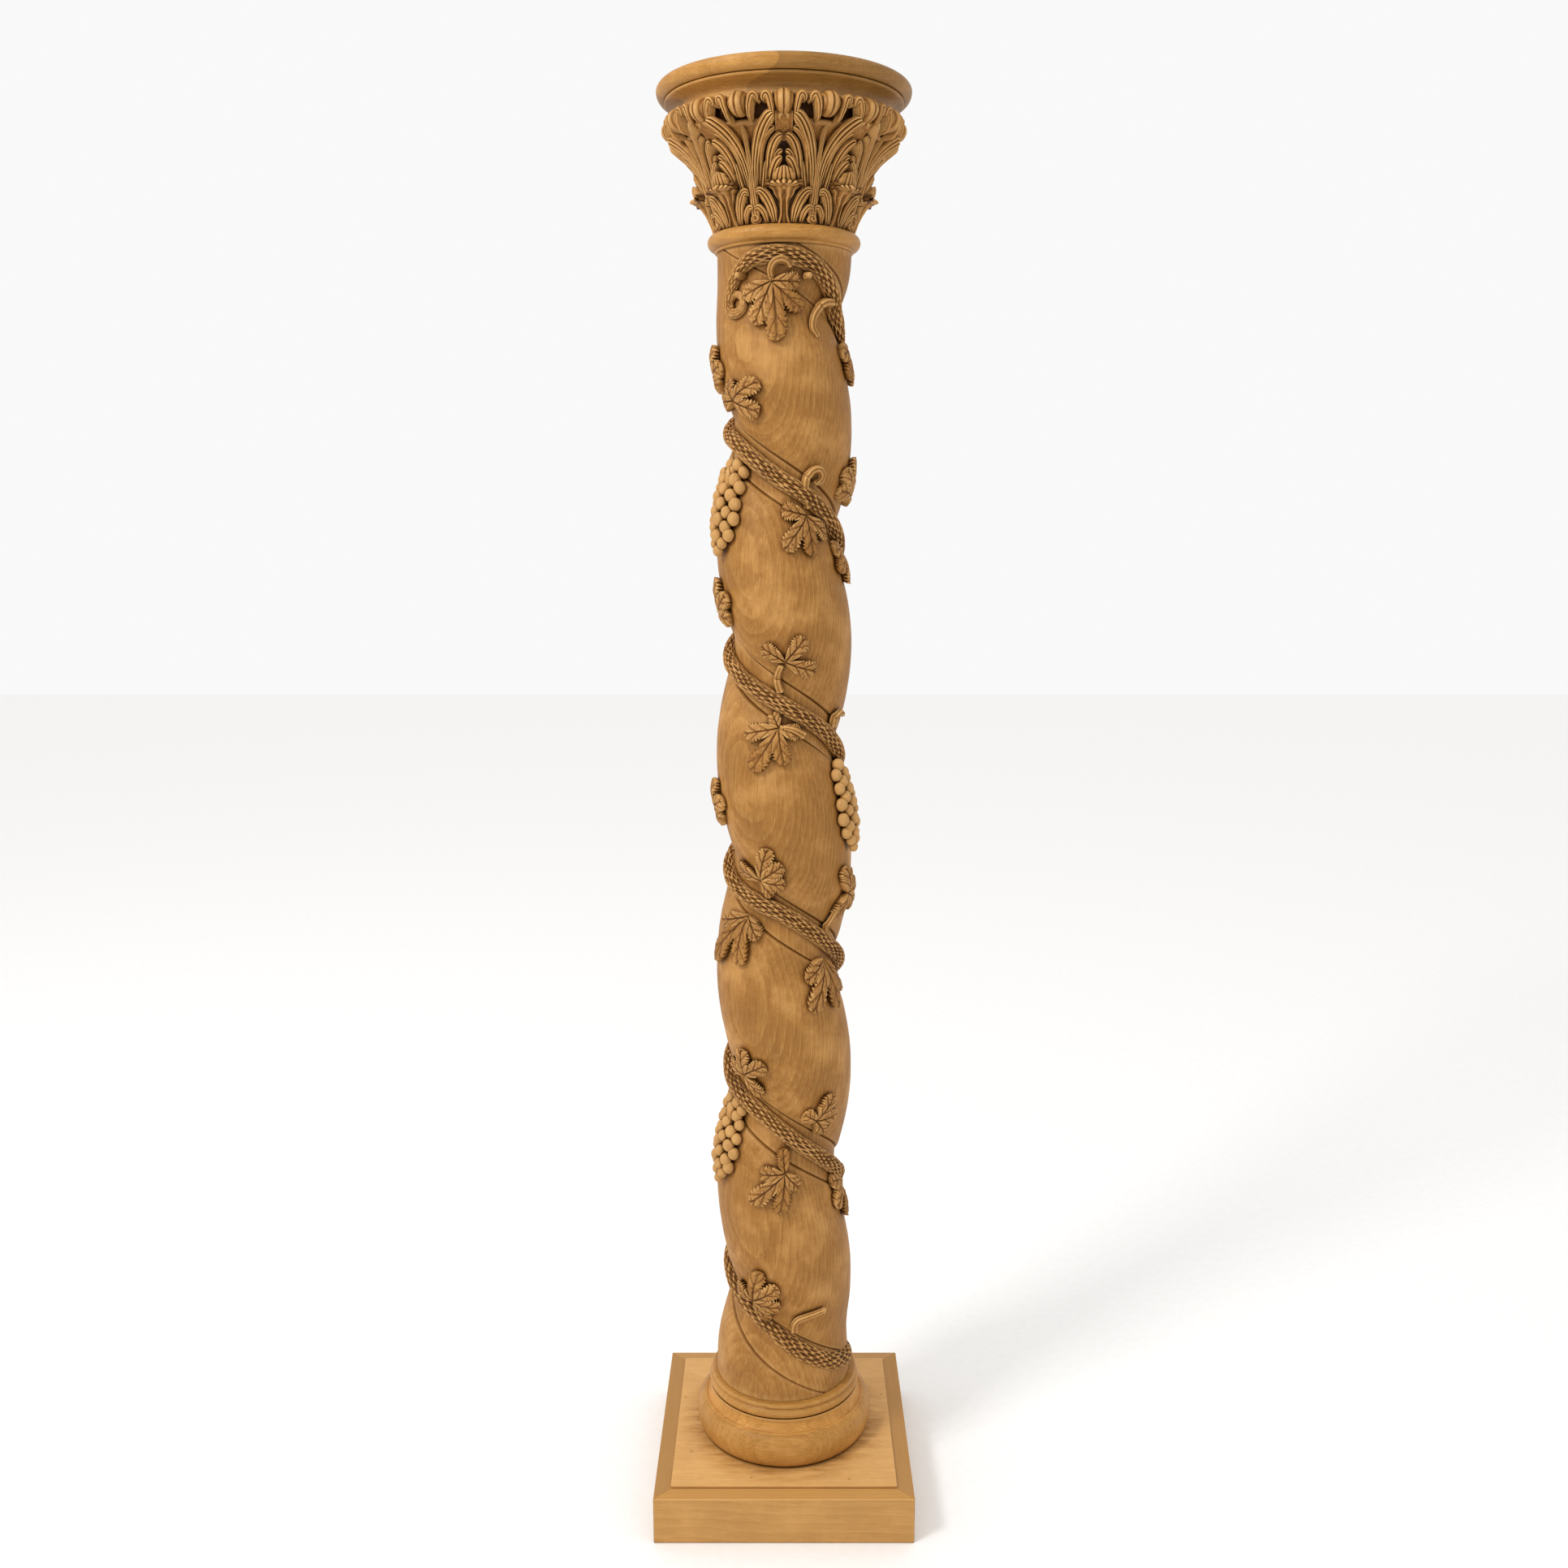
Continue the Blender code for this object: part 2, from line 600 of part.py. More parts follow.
def cut_level(bm, bottom, top):
    """The mesh cut off flat at two heights."""
    for level, side in ((top, 1.0), (bottom, -1.0)):
        bmesh.ops.bisect_plane(bm, geom=bm.verts[:] + bm.edges[:] + bm.faces[:], dist=1e-6,
                               plane_co=(0.0, 0.0, level), plane_no=(0.0, 0.0, side), clear_outer=True)
        rim = [edge for edge in bm.edges if edge.is_boundary
               and all(abs(vert.co.z - level) < 1e-6 for vert in edge.verts)]
        bmesh.ops.contextual_create(bm, geom=rim)


def joined(piece, collection, facets, bottom, top):
    """The piece made one body with all in the collection, its facets thinned out and its ends cut level."""
    union = piece.modifiers.new("Joined", "BOOLEAN")
    union.operation = "UNION"
    union.operand_type = "COLLECTION"
    union.collection = collection
    union.solver = "EXACT"
    baked(piece)
    bm = bmesh.new()
    bm.from_mesh(piece.data)
    bmesh.ops.remove_doubles(bm, verts=bm.verts, dist=WELD)
    bmesh.ops.triangulate(bm, faces=bm.faces)
    groups = sorted(islands_of(bm), key=len)
    pockets = [face for group in groups[:-1] for face in group]
    bmesh.ops.delete(bm, geom=pockets, context="FACES")
    bm.to_mesh(piece.data)
    bm.free()
    thinned = piece.modifiers.new("Thinned", "DECIMATE")
    thinned.ratio = facets
    baked(piece)
    bm = bmesh.new()
    bm.from_mesh(piece.data)
    cut_level(bm, bottom, top)
    bmesh.ops.recalc_face_normals(bm, faces=bm.faces)
    bm.to_mesh(piece.data)
    bm.free()
    piece.data.shade_smooth()
    piece.data.set_sharp_from_angle(angle=math.radians(32))
    return piece


def make_shaft(collection, relief, material):
    core = make_core("shaft", collection, material)
    make_vine(relief)
    make_shoots(relief)
    for index, leaf in enumerate(LEAVES):
        make_leaf("leaf_%02d" % index, *leaf, relief)
    for index, bunch in enumerate(BUNCHES):
        make_bunch(index, *bunch, relief)
    return joined(core, relief, SHAFT_FACETS, SHAFT_BOTTOM, SHAFT_TOP)


# Capital

def bell_radius(share):
    """The bell's radius at a share of its height: steep below, flaring out to its full width near the top."""
    flared = BELL_FOOT_RADIUS + BELL_SPREAD * share + BELL_FLARE * share ** BELL_FLARE_POWER
    return min(flared, BELL_TOP_RADIUS)


def on_bell(degrees, share, lift):
    height = CAPITAL_BOTTOM + share * BELL_HEIGHT
    return turned_out(degrees) * (bell_radius(share) + lift) + Vector((0.0, 0.0, height))


def make_bell(collection, material):
    rings = 7
    above = CAPITAL_BOTTOM + BELL_HEIGHT + CUT_ALLOWANCE
    below = CAPITAL_BOTTOM - CUT_ALLOWANCE
    shares = [1.0 - index / rings for index in range(rings + 1)]
    outline = [(0.0, above), (bell_radius(1.0), above)]
    outline += [(bell_radius(share), CAPITAL_BOTTOM + BELL_HEIGHT * share) for share in shares]
    outline += [(BELL_FOOT_RADIUS, below), (0.0, below)]
    return turned_piece("capital", outline, collection, material, 3 * CAPITAL_FOLDS)


def make_strip_leaf(name, degrees, faces, width_at, lift_at, shares, root, collection):
    """A leaf on the bell, a grid of so many faces across and up, extruded inwards to the root radius."""
    bm = bmesh.new()
    bmesh.ops.create_grid(bm, x_segments=faces[0], y_segments=faces[1], size=1.0)
    face = {vert: (vert.co.x, (vert.co.y + 1.0) / 2.0) for vert in bm.verts}
    made = bmesh.ops.extrude_face_region(bm, geom=bm.faces[:], use_keep_orig=True)
    back = {vert: (vert.co.x, (vert.co.y + 1.0) / 2.0)
            for vert in made["geom"] if isinstance(vert, bmesh.types.BMVert)}
    for vert, (across, up) in face.items():
        spot = degrees + across * width_at(up)
        vert.co = on_bell(spot, shares[0] + shares[1] * up, lift_at(across, up))
    for vert, (across, up) in back.items():
        height = CAPITAL_BOTTOM + (shares[0] + shares[1] * up) * BELL_HEIGHT
        vert.co = turned_out(degrees + across * width_at(up)) * root + Vector((0.0, 0.0, height))
    return helper(bm, name, collection)


def frond_width(up):
    """Half the frond's width in degrees: lobes that grow and shrink as it climbs."""
    widest = 360.0 / CAPITAL_FOLDS * 0.475
    lobes = 0.80 + 0.20 * math.cos(up * 3.0 * 2.0 * math.pi)
    return widest * lobes * (0.78 + 0.22 * up)


def frond_lift(across, up):
    ridge = 1.0 - 0.55 * abs(abs(across) - 0.5) * 2.0
    return FROND_LIFT * ridge * (1.0 + 0.6 * up)


def collar_width(up):
    widest = 360.0 / CAPITAL_FOLDS * 0.34
    return widest * (0.45 + 0.75 * math.sin(math.pi * min(up, 0.92)) ** 0.8)


def collar_lift(across, up):
    rise = FROND_LIFT * (0.9 + 2.0 * up ** 3)
    return rise * (1.0 - 0.25 * abs(across))


def stalk_width(up):
    narrow, wide = 0.32, 0.50
    return degrees_round(CURL_RADIUS * (narrow + (wide - narrow) * up), BELL_TOP_RADIUS)


def stalk_lift(across, up):
    return FROND_LIFT * (1.1 + 0.7 * up) * (1.0 - 0.5 * across * across)


def make_fold(index, relief):
    """One of the capital's folds: a frond, a leaf of the collar, and the rosette and stalk beside them."""
    fold = 360.0 / CAPITAL_FOLDS
    degrees = index * fold
    between = degrees + fold / 2
    collar = (COLLAR_START, COLLAR_LEAF_HEIGHT / BELL_HEIGHT)
    make_strip_leaf("frond_%d" % index, degrees, (4, 6), frond_width, frond_lift,
                    (FROND_START, FROND_REACH), BELL_FOOT_RADIUS * 0.70, relief)
    make_strip_leaf("collar_leaf_%d" % index, degrees, (3, 4), collar_width, collar_lift,
                    collar, BELL_FOOT_RADIUS * 0.80, relief)
    rosette = (CURL_RADIUS * 0.85, FROND_LIFT * 1.9, CURL_RADIUS * 0.55)
    make_ball("rosette_%d" % index, on_bell(between, 0.062, -FROND_LIFT * 0.7), rosette, between, relief)
    make_strip_leaf("stalk_%d" % index, between, (2, 3), stalk_width, stalk_lift,
                    (FROND_START, STALK_REACH), BELL_FOOT_RADIUS * 0.75, relief)


def make_curl(index, relief):
    """One of the curled tips under the cap, with a narrower one on each side of it."""
    spacing = 180.0 / CAPITAL_FOLDS
    degrees = index * spacing
    share = 1.0 - 1.12 * CURL_RADIUS / BELL_HEIGHT
    rooted = -CURL_RADIUS * 0.6
    tip = (CURL_RADIUS, CURL_RADIUS * 1.38 - rooted, CURL_RADIUS * 1.1)
    narrow = (CURL_RADIUS * 0.55, CURL_RADIUS * 1.15 - rooted, CURL_RADIUS * 0.9)
    make_ball("curl_%02d" % index, on_bell(degrees, share, rooted), tip, degrees, relief, (6, 4))
    for side in (-1, 1):
        beside = degrees + side * spacing * 0.31
        make_ball("curl_%02d_side_%d" % (index, side + 1), on_bell(beside, share + 0.01, rooted),
                  narrow, beside, relief)


def make_capital(collection, relief, material):
    bell = make_bell(collection, material)
    for index in range(CAPITAL_FOLDS):
        make_fold(index, relief)
    for index in range(2 * CAPITAL_FOLDS):
        make_curl(index, relief)
    return joined(bell, relief, CAPITAL_FACETS, CAPITAL_BOTTOM, CAPITAL_BOTTOM + BELL_HEIGHT)


def main():
    clear_scene()
    parts = new_collection("carved_column")
    shaft_relief = new_collection("shaft_relief")
    capital_relief = new_collection("capital_relief")
    brown = wood("brown wood", (0.42, 0.22, 0.08), 0.55)
    pale = wood("pale wood", (0.58, 0.34, 0.14), 0.6)
    carved = wood("carved wood", (0.45, 0.25, 0.10), 0.6)
    make_block("plinth", PLINTH_SIDE, 0.0, PLINTH_HEIGHT, parts, brown)
    make_block("plinth_panel", PLINTH_SIDE - 2 * PANEL_MARGIN, PANEL_BOTTOM, PANEL_THICKNESS, parts, pale)
    make_base(parts, brown)
    make_shaft(parts, shaft_relief, carved)
    make_astragal(parts, brown)
    make_capital(parts, capital_relief, carved)
    make_abacus(parts, brown)


main()
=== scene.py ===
import math

import bmesh
import bpy
from mathutils import Matrix, Vector, noise


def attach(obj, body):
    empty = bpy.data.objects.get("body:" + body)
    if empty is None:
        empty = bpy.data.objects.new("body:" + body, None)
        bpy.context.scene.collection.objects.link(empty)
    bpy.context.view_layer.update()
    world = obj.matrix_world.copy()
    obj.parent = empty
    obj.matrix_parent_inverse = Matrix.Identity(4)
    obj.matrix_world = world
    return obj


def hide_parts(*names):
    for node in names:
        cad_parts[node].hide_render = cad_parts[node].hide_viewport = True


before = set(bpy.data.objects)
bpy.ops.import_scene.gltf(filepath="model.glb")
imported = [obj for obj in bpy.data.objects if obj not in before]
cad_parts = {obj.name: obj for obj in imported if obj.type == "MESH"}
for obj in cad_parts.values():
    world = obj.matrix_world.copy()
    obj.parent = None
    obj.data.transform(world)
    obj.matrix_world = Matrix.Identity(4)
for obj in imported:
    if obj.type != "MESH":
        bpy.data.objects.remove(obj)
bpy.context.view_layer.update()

fullTurn = 2.0 * math.pi

# levels of the pieces, as in the CAD
levels = {
    "plinthTop": 0.083,
    "panelBottom": 0.0833,
    "baseBottom": 0.0886,
    "shaftBottom": 0.1969,
    "shaftTop": 2.1109,
    "astragalBottom": 2.1112,
    "capitalBottom": 2.138,
    "capitalTop": 2.309,
    "abacusBottom": 2.3093,
}


# helpers

def clamp(value, low=0.0, high=1.0):
    return min(max(value, low), high)


def smooth(value):
    value = clamp(value)
    return value * value * (3.0 - 2.0 * value)


def mix(first, second, share):
    return first + (second - first) * share


def turnedOut(degrees):
    angle = math.radians(degrees)
    return Vector((math.sin(angle), -math.cos(angle), 0.0))


def placed(degrees, radius, height):
    return turnedOut(degrees) * radius + Vector((0.0, 0.0, height))


def squareTo(here, ahead):
    # out of the column and sideways, both square to the way ahead
    out = Vector((here.x, here.y, 0.0)).normalized()
    out = (out - ahead * out.dot(ahead)).normalized()
    return out, ahead.cross(out)


def arc(centre, radii, start, end, points):
    turned = []
    for index in range(points):
        angle = math.radians(mix(start, end, index / (points - 1)))
        turned.append((centre[0] + radii[0] * math.cos(angle), centre[1] + radii[1] * math.sin(angle)))
    return turned


def easedRun(points, pieces):
    # a smooth curve through the points, so many pieces between each two
    run = []
    for index in range(len(points) - 1):
        before = Vector(points[max(index - 1, 0)])
        here = Vector(points[index])
        there = Vector(points[index + 1])
        after = Vector(points[min(index + 2, len(points) - 1)])
        for piece in range(pieces):
            t = piece / pieces
            slope = there - before
            bend = 2.0 * before - 5.0 * here + 4.0 * there - after
            twist = 3.0 * here - before - 3.0 * there + after
            run.append(0.5 * (2.0 * here + slope * t + bend * t * t + twist * t ** 3))
    run.append(Vector(points[-1]))
    return run


def sampled(values, share):
    # a value read off a short list, eased between its entries
    place = clamp(share) * (len(values) - 1)
    index = min(int(place), len(values) - 2)
    return mix(values[index], values[index + 1], smooth(place - index))


def finishPiece(bm, name, nodes, material, sharpAngle=42.0):
    bmesh.ops.remove_doubles(bm, verts=bm.verts, dist=1e-6)
    bmesh.ops.recalc_face_normals(bm, faces=bm.faces)
    mesh = bpy.data.meshes.new(name)
    bm.to_mesh(mesh)
    bm.free()
    piece = bpy.data.objects.new(name, mesh)
    bpy.context.scene.collection.objects.link(piece)
    mesh.materials.append(material)
    mesh.shade_smooth()
    mesh.set_sharp_from_angle(angle=math.radians(sharpAngle))
    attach(piece, "root")
    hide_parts(*nodes)
    mesh.calc_loop_triangles()
    print(name, "made,", len(mesh.loop_triangles), "triangles")


def newCarving():
    # an empty mesh with room for how dark each point is painted in the carver's cuts: brown wax and painted shade
    bm = bmesh.new()
    return bm, bm.verts.layers.float.new("waxShadeInCuts")


def joinInto(whole, part, turn=0.0):
    # a small mesh copied into the whole one, turned round the axis
    mesh = bpy.data.meshes.new("part")
    part.to_mesh(mesh)
    if turn:
        mesh.transform(Matrix.Rotation(math.radians(turn), 4, "Z"))
    whole.from_mesh(mesh)
    bpy.data.meshes.remove(mesh)


def byHand(bm, amount, size):
    # the small unevenness of hand work, in metres, over lumps of this size
    for vert in bm.verts:
        out = Vector((vert.co.x, vert.co.y, 0.0))
        if out.length > 0.01:
            vert.co += out.normalized() * (amount * noise.noise(vert.co / size))


def rootSheet(bm, sheet, steps):
    # the rim of an open sheet carried inwards step by step, and closed at the last
    rim = list({edge for vert in sheet for edge in vert.link_edges if edge.is_boundary})
    for mover in steps:
        made = bmesh.ops.extrude_edge_only(bm, edges=rim)["geom"]
        fresh = {item for item in made if isinstance(item, bmesh.types.BMVert)}
        rim = [item for item in made if isinstance(item, bmesh.types.BMEdge)
               and item.verts[0] in fresh and item.verts[1] in fresh]
        places = {vert: mover(vert.co.copy()) for vert in fresh}
        for vert, place in places.items():
            vert.co = place
    bmesh.ops.contextual_create(bm, geom=rim)


# materials

def linear(hexColour):
    # an sRGB hex value as linear colour
    parts = [int(hexColour[index:index + 2], 16) / 255.0 for index in (1, 3, 5)]
    return [part / 12.92 if part <= 0.04045 else ((part + 0.055) / 1.055) ** 2.4 for part in parts] + [1.0]


def feed(tree, node, inputs):
    # inputs are values, sockets or nodes, and a node gives its first output that is in use
    for socket, value in inputs.items():
        if isinstance(value, bpy.types.Node):
            value = next(output for output in value.outputs if output.enabled)
        if isinstance(value, bpy.types.NodeSocket):
            tree.links.new(value, node.inputs[socket])
        else:
            node.inputs[socket].default_value = value


def addNode(tree, kind, inputs=None, stops=(), span=(), **settings):
    node = tree.nodes.new("ShaderNode" + kind)
    for name, value in settings.items():
        setattr(node, name, value)
    if stops:
        ramp = node.color_ramp
        while len(ramp.elements) < len(stops):
            ramp.elements.new(0.5)
        for element, (place, colour) in zip(ramp.elements, stops):
            element.position = place
            element.color = colour
    feed(tree, node, dict(zip(("From Min", "From Max", "To Min", "To Max"), span)))
    feed(tree, node, inputs or {})
    return node


# Teak, carved by hand and waxed: growth rings cut across by the carving, fine dark pores along the trunk,
# brown wax and painted shade in every hollow, and arrises painted pale: partly wear, partly painted highlight
teakCarved = {
    "light": "#bd8a48", "middle": "#aa7537", "late": "#976228", "pore": "#6d4218", "wearAndHighlight": "#d9ab6c",
    "pith": (0.16, 0.3, 0.0), "tilt": (2.0, -3.0, 0.0), "ringSpacing": 6.5, "ringWander": 4.5,
    "ringShare": 0.15, "tone": (0.67, 0.94), "roughness": 0.55, "waxShadeReach": 0.01, "waxShadeFrom": 0.74,
    "waxShadeTo": 0.2, "wearAndHighlightFrom": 0.51, "wearAndHighlightTo": 0.57, "bump": 0.35, "place": "", "stainAndShade": 0.0,
    "dust": 0.3, "dustColour": "#d8a868", "joints": (), "paintedTopShade": (),
    "waxShadeTints": ((0.6, 0.51, 0.36, 1.0), (0.085, 0.048, 0.02, 1.0)),  # in a shallow hollow and in a deep cut
}
# The same teak, deeply carved for the capital: painted brighter overall, and paler on its ridges, partly wear and
# partly painted highlight
teakCapital = dict(teakCarved, tone=(0.77, 1.06), wearAndHighlightFrom=0.505, wearAndHighlightTo=0.56)
# Teak, turned on a lathe and waxed: grain lies level, with wide soft figure and a smooth satin face
teakTurned = dict(teakCarved, light="#bf8c49", middle="#ae7a38", late="#9d692a", pith=(0.0, 0.34, 0.05),
                  tilt=(0.0, 90.0, 0.0), ringSpacing=9.0, ringWander=5.0, ringShare=0.09, roughness=0.44,
                  tone=(0.82, 1.04), waxShadeReach=0.008, waxShadeFrom=0.6, waxShadeTo=0.15, wearAndHighlightFrom=0.515, wearAndHighlightTo=0.6,
                  dust=0.2, bump=0.16)
# The base's scotia is painted paler between these two heights: a painted highlight, as where light from above falls in
# it
teakBase = dict(teakTurned, joints=(((0.0, 0.0, 1.0), levels["baseBottom"] + 0.06, 1.25),
                                    ((0.0, 0.0, 1.0), levels["baseBottom"] + 0.079, 0.8)))
# The abacus is glued up of three boards of the same teak: a pale one, a brown one and a darker one.
# Each joint: the way across it, how far out it lies, and how much darker or paler the wood beyond it is
teakAbacus = dict(teakTurned, joints=(((0.664, 0.747, 0.0), -0.1525, 0.7), ((0.883, 0.469, 0.0), 0.0, 0.9)))
# Teak boards, planed and mitred, for the plinth: the grain runs along each board.
# The right and left boards are painted darker than the front and back, and the faces that lie upwards darker and
# browner: painted shade
teakPlaned = dict(teakTurned, light="#c28f4d", middle="#b5803f", late="#a57130", pith=(0.0, 0.1, -0.16),
                  tilt=(3.0, 88.0, 0.0), ringSpacing=9.0, ringShare=0.2, roughness=0.5, waxShadeFrom=0.6,
                  tone=(0.78, 0.94), waxShadeTo=0.1, place="boardPlace",
                  joints=(((1.0, 0.0, 0.0), 0.35, 0.86), ((1.0, 0.0, 0.0), 1.05, 1.16),
                          ((1.0, 0.0, 0.0), 1.75, 0.8)),
                  paintedTopShade=(0.8, 0.71, 0.55, 1.0))
# Pine board, planed, for the panel let into the plinth: paler, with wide rings, and dirt with painted shadow round the
# column
pinePlaned = dict(teakTurned, light="#dba866", middle="#d29c5a", late="#c58d4a", pith=(0.0, 0.1, -0.3),
                  tilt=(0.0, 90.0, 2.0), ringSpacing=14.0, ringShare=0.12, roughness=0.52, tone=(0.84, 1.0),
                  waxShadeFrom=0.62, waxShadeTo=0.1, stainAndShade=0.5)


# the figure that all the wood shares. Scale, detail and roughness of each pattern: fibres about 2 mm wide and
# pores about 1 mm, both drawn coarser than real ones so that they show, clouds of 70 mm and a mottle of 9 mm.
# A wave of scale 314.16 has its rings 1 mm apart, and jointWidth is half the width of a glued joint in metres
figure = {"fibre": (420.0, 3.0, 0.6), "pores": (900.0, 1.0, 0.5), "clouds": (14.0, 4.0, 0.6),
          "mottle": (110.0, 3.0, 0.6), "alongTrunk": 0.035, "ringsApart": 314.16, "jointWidth": 0.0004}
# dirt with painted shadow, and small dark dots, on the panel: the ring's outer and inner radius, and a dot's edge,
# core and darkness
stainsAndShade = {"ring": (0.196, 0.156), "streaks": (16.0, 75.0, 1.0), "dotScale": 11.0, "dots": (0.034, 0.018, 0.0, 0.6)}


def woodMaterial(name, look):
    material = bpy.data.materials.new(name)
    material.use_nodes = True
    tree = material.node_tree
    surface = addNode(tree, "NewGeometry")
    if look["place"]:
        place = addNode(tree, "Attribute", attribute_name=look["place"]).outputs["Vector"]
    else:
        place = addNode(tree, "TexCoord").outputs["Object"]
    fromPith = addNode(tree, "Mapping", {"Vector": place, "Location": -Vector(look["pith"])})
    trunk = addNode(tree, "Mapping", {"Vector": fromPith, "Rotation": [math.radians(turn) for turn in look["tilt"]]})
    stretched = addNode(tree, "Mapping", {"Vector": trunk, "Scale": (1.0, 1.0, figure["alongTrunk"])})
    # growth rings, so many mm apart
    rings = addNode(tree, "TexWave", {
        "Vector": trunk, "Scale": figure["ringsApart"] / look["ringSpacing"], "Distortion": look["ringWander"],
        "Detail": 3.0, "Detail Scale": 0.22, "Detail Roughness": 0.55,
    }, wave_type="RINGS", rings_direction="Z", wave_profile="SAW")
    pattern = {}
    for kind, where in (("fibre", stretched), ("pores", stretched), ("clouds", place), ("mottle", place)):
        scale, detail, rough = figure[kind]
        pattern[kind] = addNode(tree, "TexNoise", {
            "Vector": where, "Scale": scale, "Detail": detail, "Roughness": rough})
    ringed = addNode(tree, "Math", {0: rings.outputs["Fac"], 1: look["ringShare"]}, operation="MULTIPLY")
    grain = addNode(tree, "Math", {0: pattern["fibre"], 1: 0.55, 2: ringed}, operation="MULTIPLY_ADD")
    timber = addNode(tree, "ValToRGB", {"Fac": grain}, [
        (0.18, linear(look["light"])), (0.36, linear(look["middle"])), (0.58, linear(look["late"]))])
    cloudy = addNode(tree, "Math", {0: pattern["mottle"], 1: 0.35, 2: pattern["clouds"]}, operation="MULTIPLY_ADD")
    tone = addNode(tree, "MapRange", {"Value": cloudy}, span=(0.45, 0.9, *look["tone"]))
    colour = addNode(tree, "VectorMath", {0: timber, "Scale": tone}, operation="SCALE")
    # dark pores, pale dusty places, and arrises painted pale where an edge stands out: partly wear, partly painted
    # highlight
    for value, low, high, most, tint in (
            (pattern["pores"], 0.62, 0.74, 0.4, look["pore"]),
            (pattern["clouds"], 0.5, 0.72, look["dust"], look["dustColour"]),
            (surface.outputs["Pointiness"], look["wearAndHighlightFrom"], look["wearAndHighlightTo"], 0.75, look["wearAndHighlight"])):
        share = addNode(tree, "MapRange", {"Value": value}, span=(low, high, 0.0, most))
        colour = addNode(tree, "Mix", {"Factor": share, "A": colour, "B": linear(tint)}, data_type="RGBA")
    # brown wax and painted shade in the hollows: how shut in a point is, and the darkness painted into the carver's
    # cuts
    shut = addNode(tree, "AmbientOcclusion", {"Distance": look["waxShadeReach"]}, samples=6)
    closed = addNode(tree, "MapRange", {"Value": shut.outputs["AO"]}, span=(look["waxShadeFrom"], look["waxShadeTo"]))
    shadedCuts = addNode(tree, "Attribute", attribute_name="waxShadeInCuts")
    inHollow = addNode(tree, "Math", {0: closed, 1: shadedCuts.outputs["Fac"]}, operation="MAXIMUM")
    if look["stainAndShade"]:
        # a dark ring round the torus, darkest next to it: dirt left where the cloth doesn't reach and painted shadow
        # of the torus, and drips of old wax
        flat = addNode(tree, "VectorMath", {0: place, 1: (1.0, 1.0, 0.0)}, operation="MULTIPLY")
        fromAxis = addNode(tree, "VectorMath", {0: flat}, operation="LENGTH")
        ring = addNode(tree, "MapRange", {"Value": fromAxis}, span=stainsAndShade["ring"])
        streaked = addNode(tree, "Mapping", {"Vector": place, "Scale": stainsAndShade["streaks"]})
        streaks = addNode(tree, "TexNoise", {"Vector": streaked, "Scale": 1.0, "Detail": 4.0, "Roughness": 0.65})
        patches = addNode(tree, "MapRange", {"Value": streaks}, span=(0.36, 0.74))
        dots = addNode(tree, "TexVoronoi", {"Vector": place, "Scale": stainsAndShade["dotScale"]}, voronoi_dimensions="2D")
        dots = addNode(tree, "MapRange", {"Value": dots}, span=stainsAndShade["dots"])
        dirtAndShade = addNode(tree, "Math", {0: ring, 1: patches}, operation="MULTIPLY")
        dirtAndShade = addNode(tree, "Math", {0: dirtAndShade, 1: dots}, operation="MAXIMUM")
        dirtAndShade = addNode(tree, "Math", {0: dirtAndShade, 1: look["stainAndShade"]}, operation="MULTIPLY")
        inHollow = addNode(tree, "Math", {0: inHollow, 1: dirtAndShade}, operation="MAXIMUM")
    # painted shade with brown wax: the hollows are painted from white through tan to near black and multiplied into
    # the colour
    waxAndShadeTint = addNode(tree, "ValToRGB", {"Fac": inHollow}, [
        (0.0, (1.0, 1.0, 1.0, 1.0)), (0.4, look["waxShadeTints"][0]), (1.0, look["waxShadeTints"][1])])
    colour = addNode(tree, "Mix", {"Factor": 1.0, "A": colour, "B": waxAndShadeTint}, data_type="RGBA", blend_type="MULTIPLY")
    # glued joints between boards, where the wood beyond is darker or paler, and bands painted darker or paler as
    # painted light and shade
    for way, reach, beyond in look["joints"]:
        across = addNode(tree, "VectorMath", {0: place, 1: way}, operation="DOT_PRODUCT")
        width = figure["jointWidth"]
        side = addNode(tree, "MapRange", {"Value": across}, span=(reach - width, reach + width, 1.0, beyond))
        colour = addNode(tree, "VectorMath", {0: colour, "Scale": side}, operation="SCALE")
    if look["paintedTopShade"]:
        # painted shade: the faces that lie upwards are painted darker and browner
        upright = addNode(tree, "SeparateXYZ", {0: surface.outputs["Normal"]})
        lying = addNode(tree, "MapRange", {"Value": upright.outputs["Z"]}, span=(0.3, 0.9))
        colour = addNode(tree, "Mix", {"Factor": lying, "A": colour, "B": look["paintedTopShade"]},
                         data_type="RGBA", blend_type="MULTIPLY")
    rough = addNode(tree, "MapRange", {"Value": pattern["fibre"]}, span=(
        0.3, 0.7, look["roughness"] - 0.06, look["roughness"] + 0.08))
    height = addNode(tree, "Math", {0: pattern["fibre"], 1: 0.5}, operation="MULTIPLY")
    height = addNode(tree, "Math", {0: pattern["mottle"], 1: 0.9, 2: height}, operation="MULTIPLY_ADD")
    bump = addNode(tree, "Bump", {"Strength": look["bump"], "Distance": 0.0008, "Height": height})
    feed(tree, tree.nodes["Principled BSDF"], {
        "Base Color": colour, "Roughness": rough, "Normal": bump, "IOR": 1.5, "Specular IOR Level": 0.2})
    return material


carvedTeak = woodMaterial("teak, hand carved and waxed", teakCarved)
capitalTeak = woodMaterial("teak, deeply carved and waxed", teakCapital)
turnedTeak = woodMaterial("teak, turned and waxed", teakTurned)
baseTeak = woodMaterial("teak, turned and waxed, scotia painted lit", teakBase)
abacusTeak = woodMaterial("teak, turned and waxed, glued up", teakAbacus)
planedTeak = woodMaterial("teak, planed and waxed", teakPlaned)
planedPine = woodMaterial("pine, planed and waxed", pinePlaned)
print("materials made")


# camera, light and floor

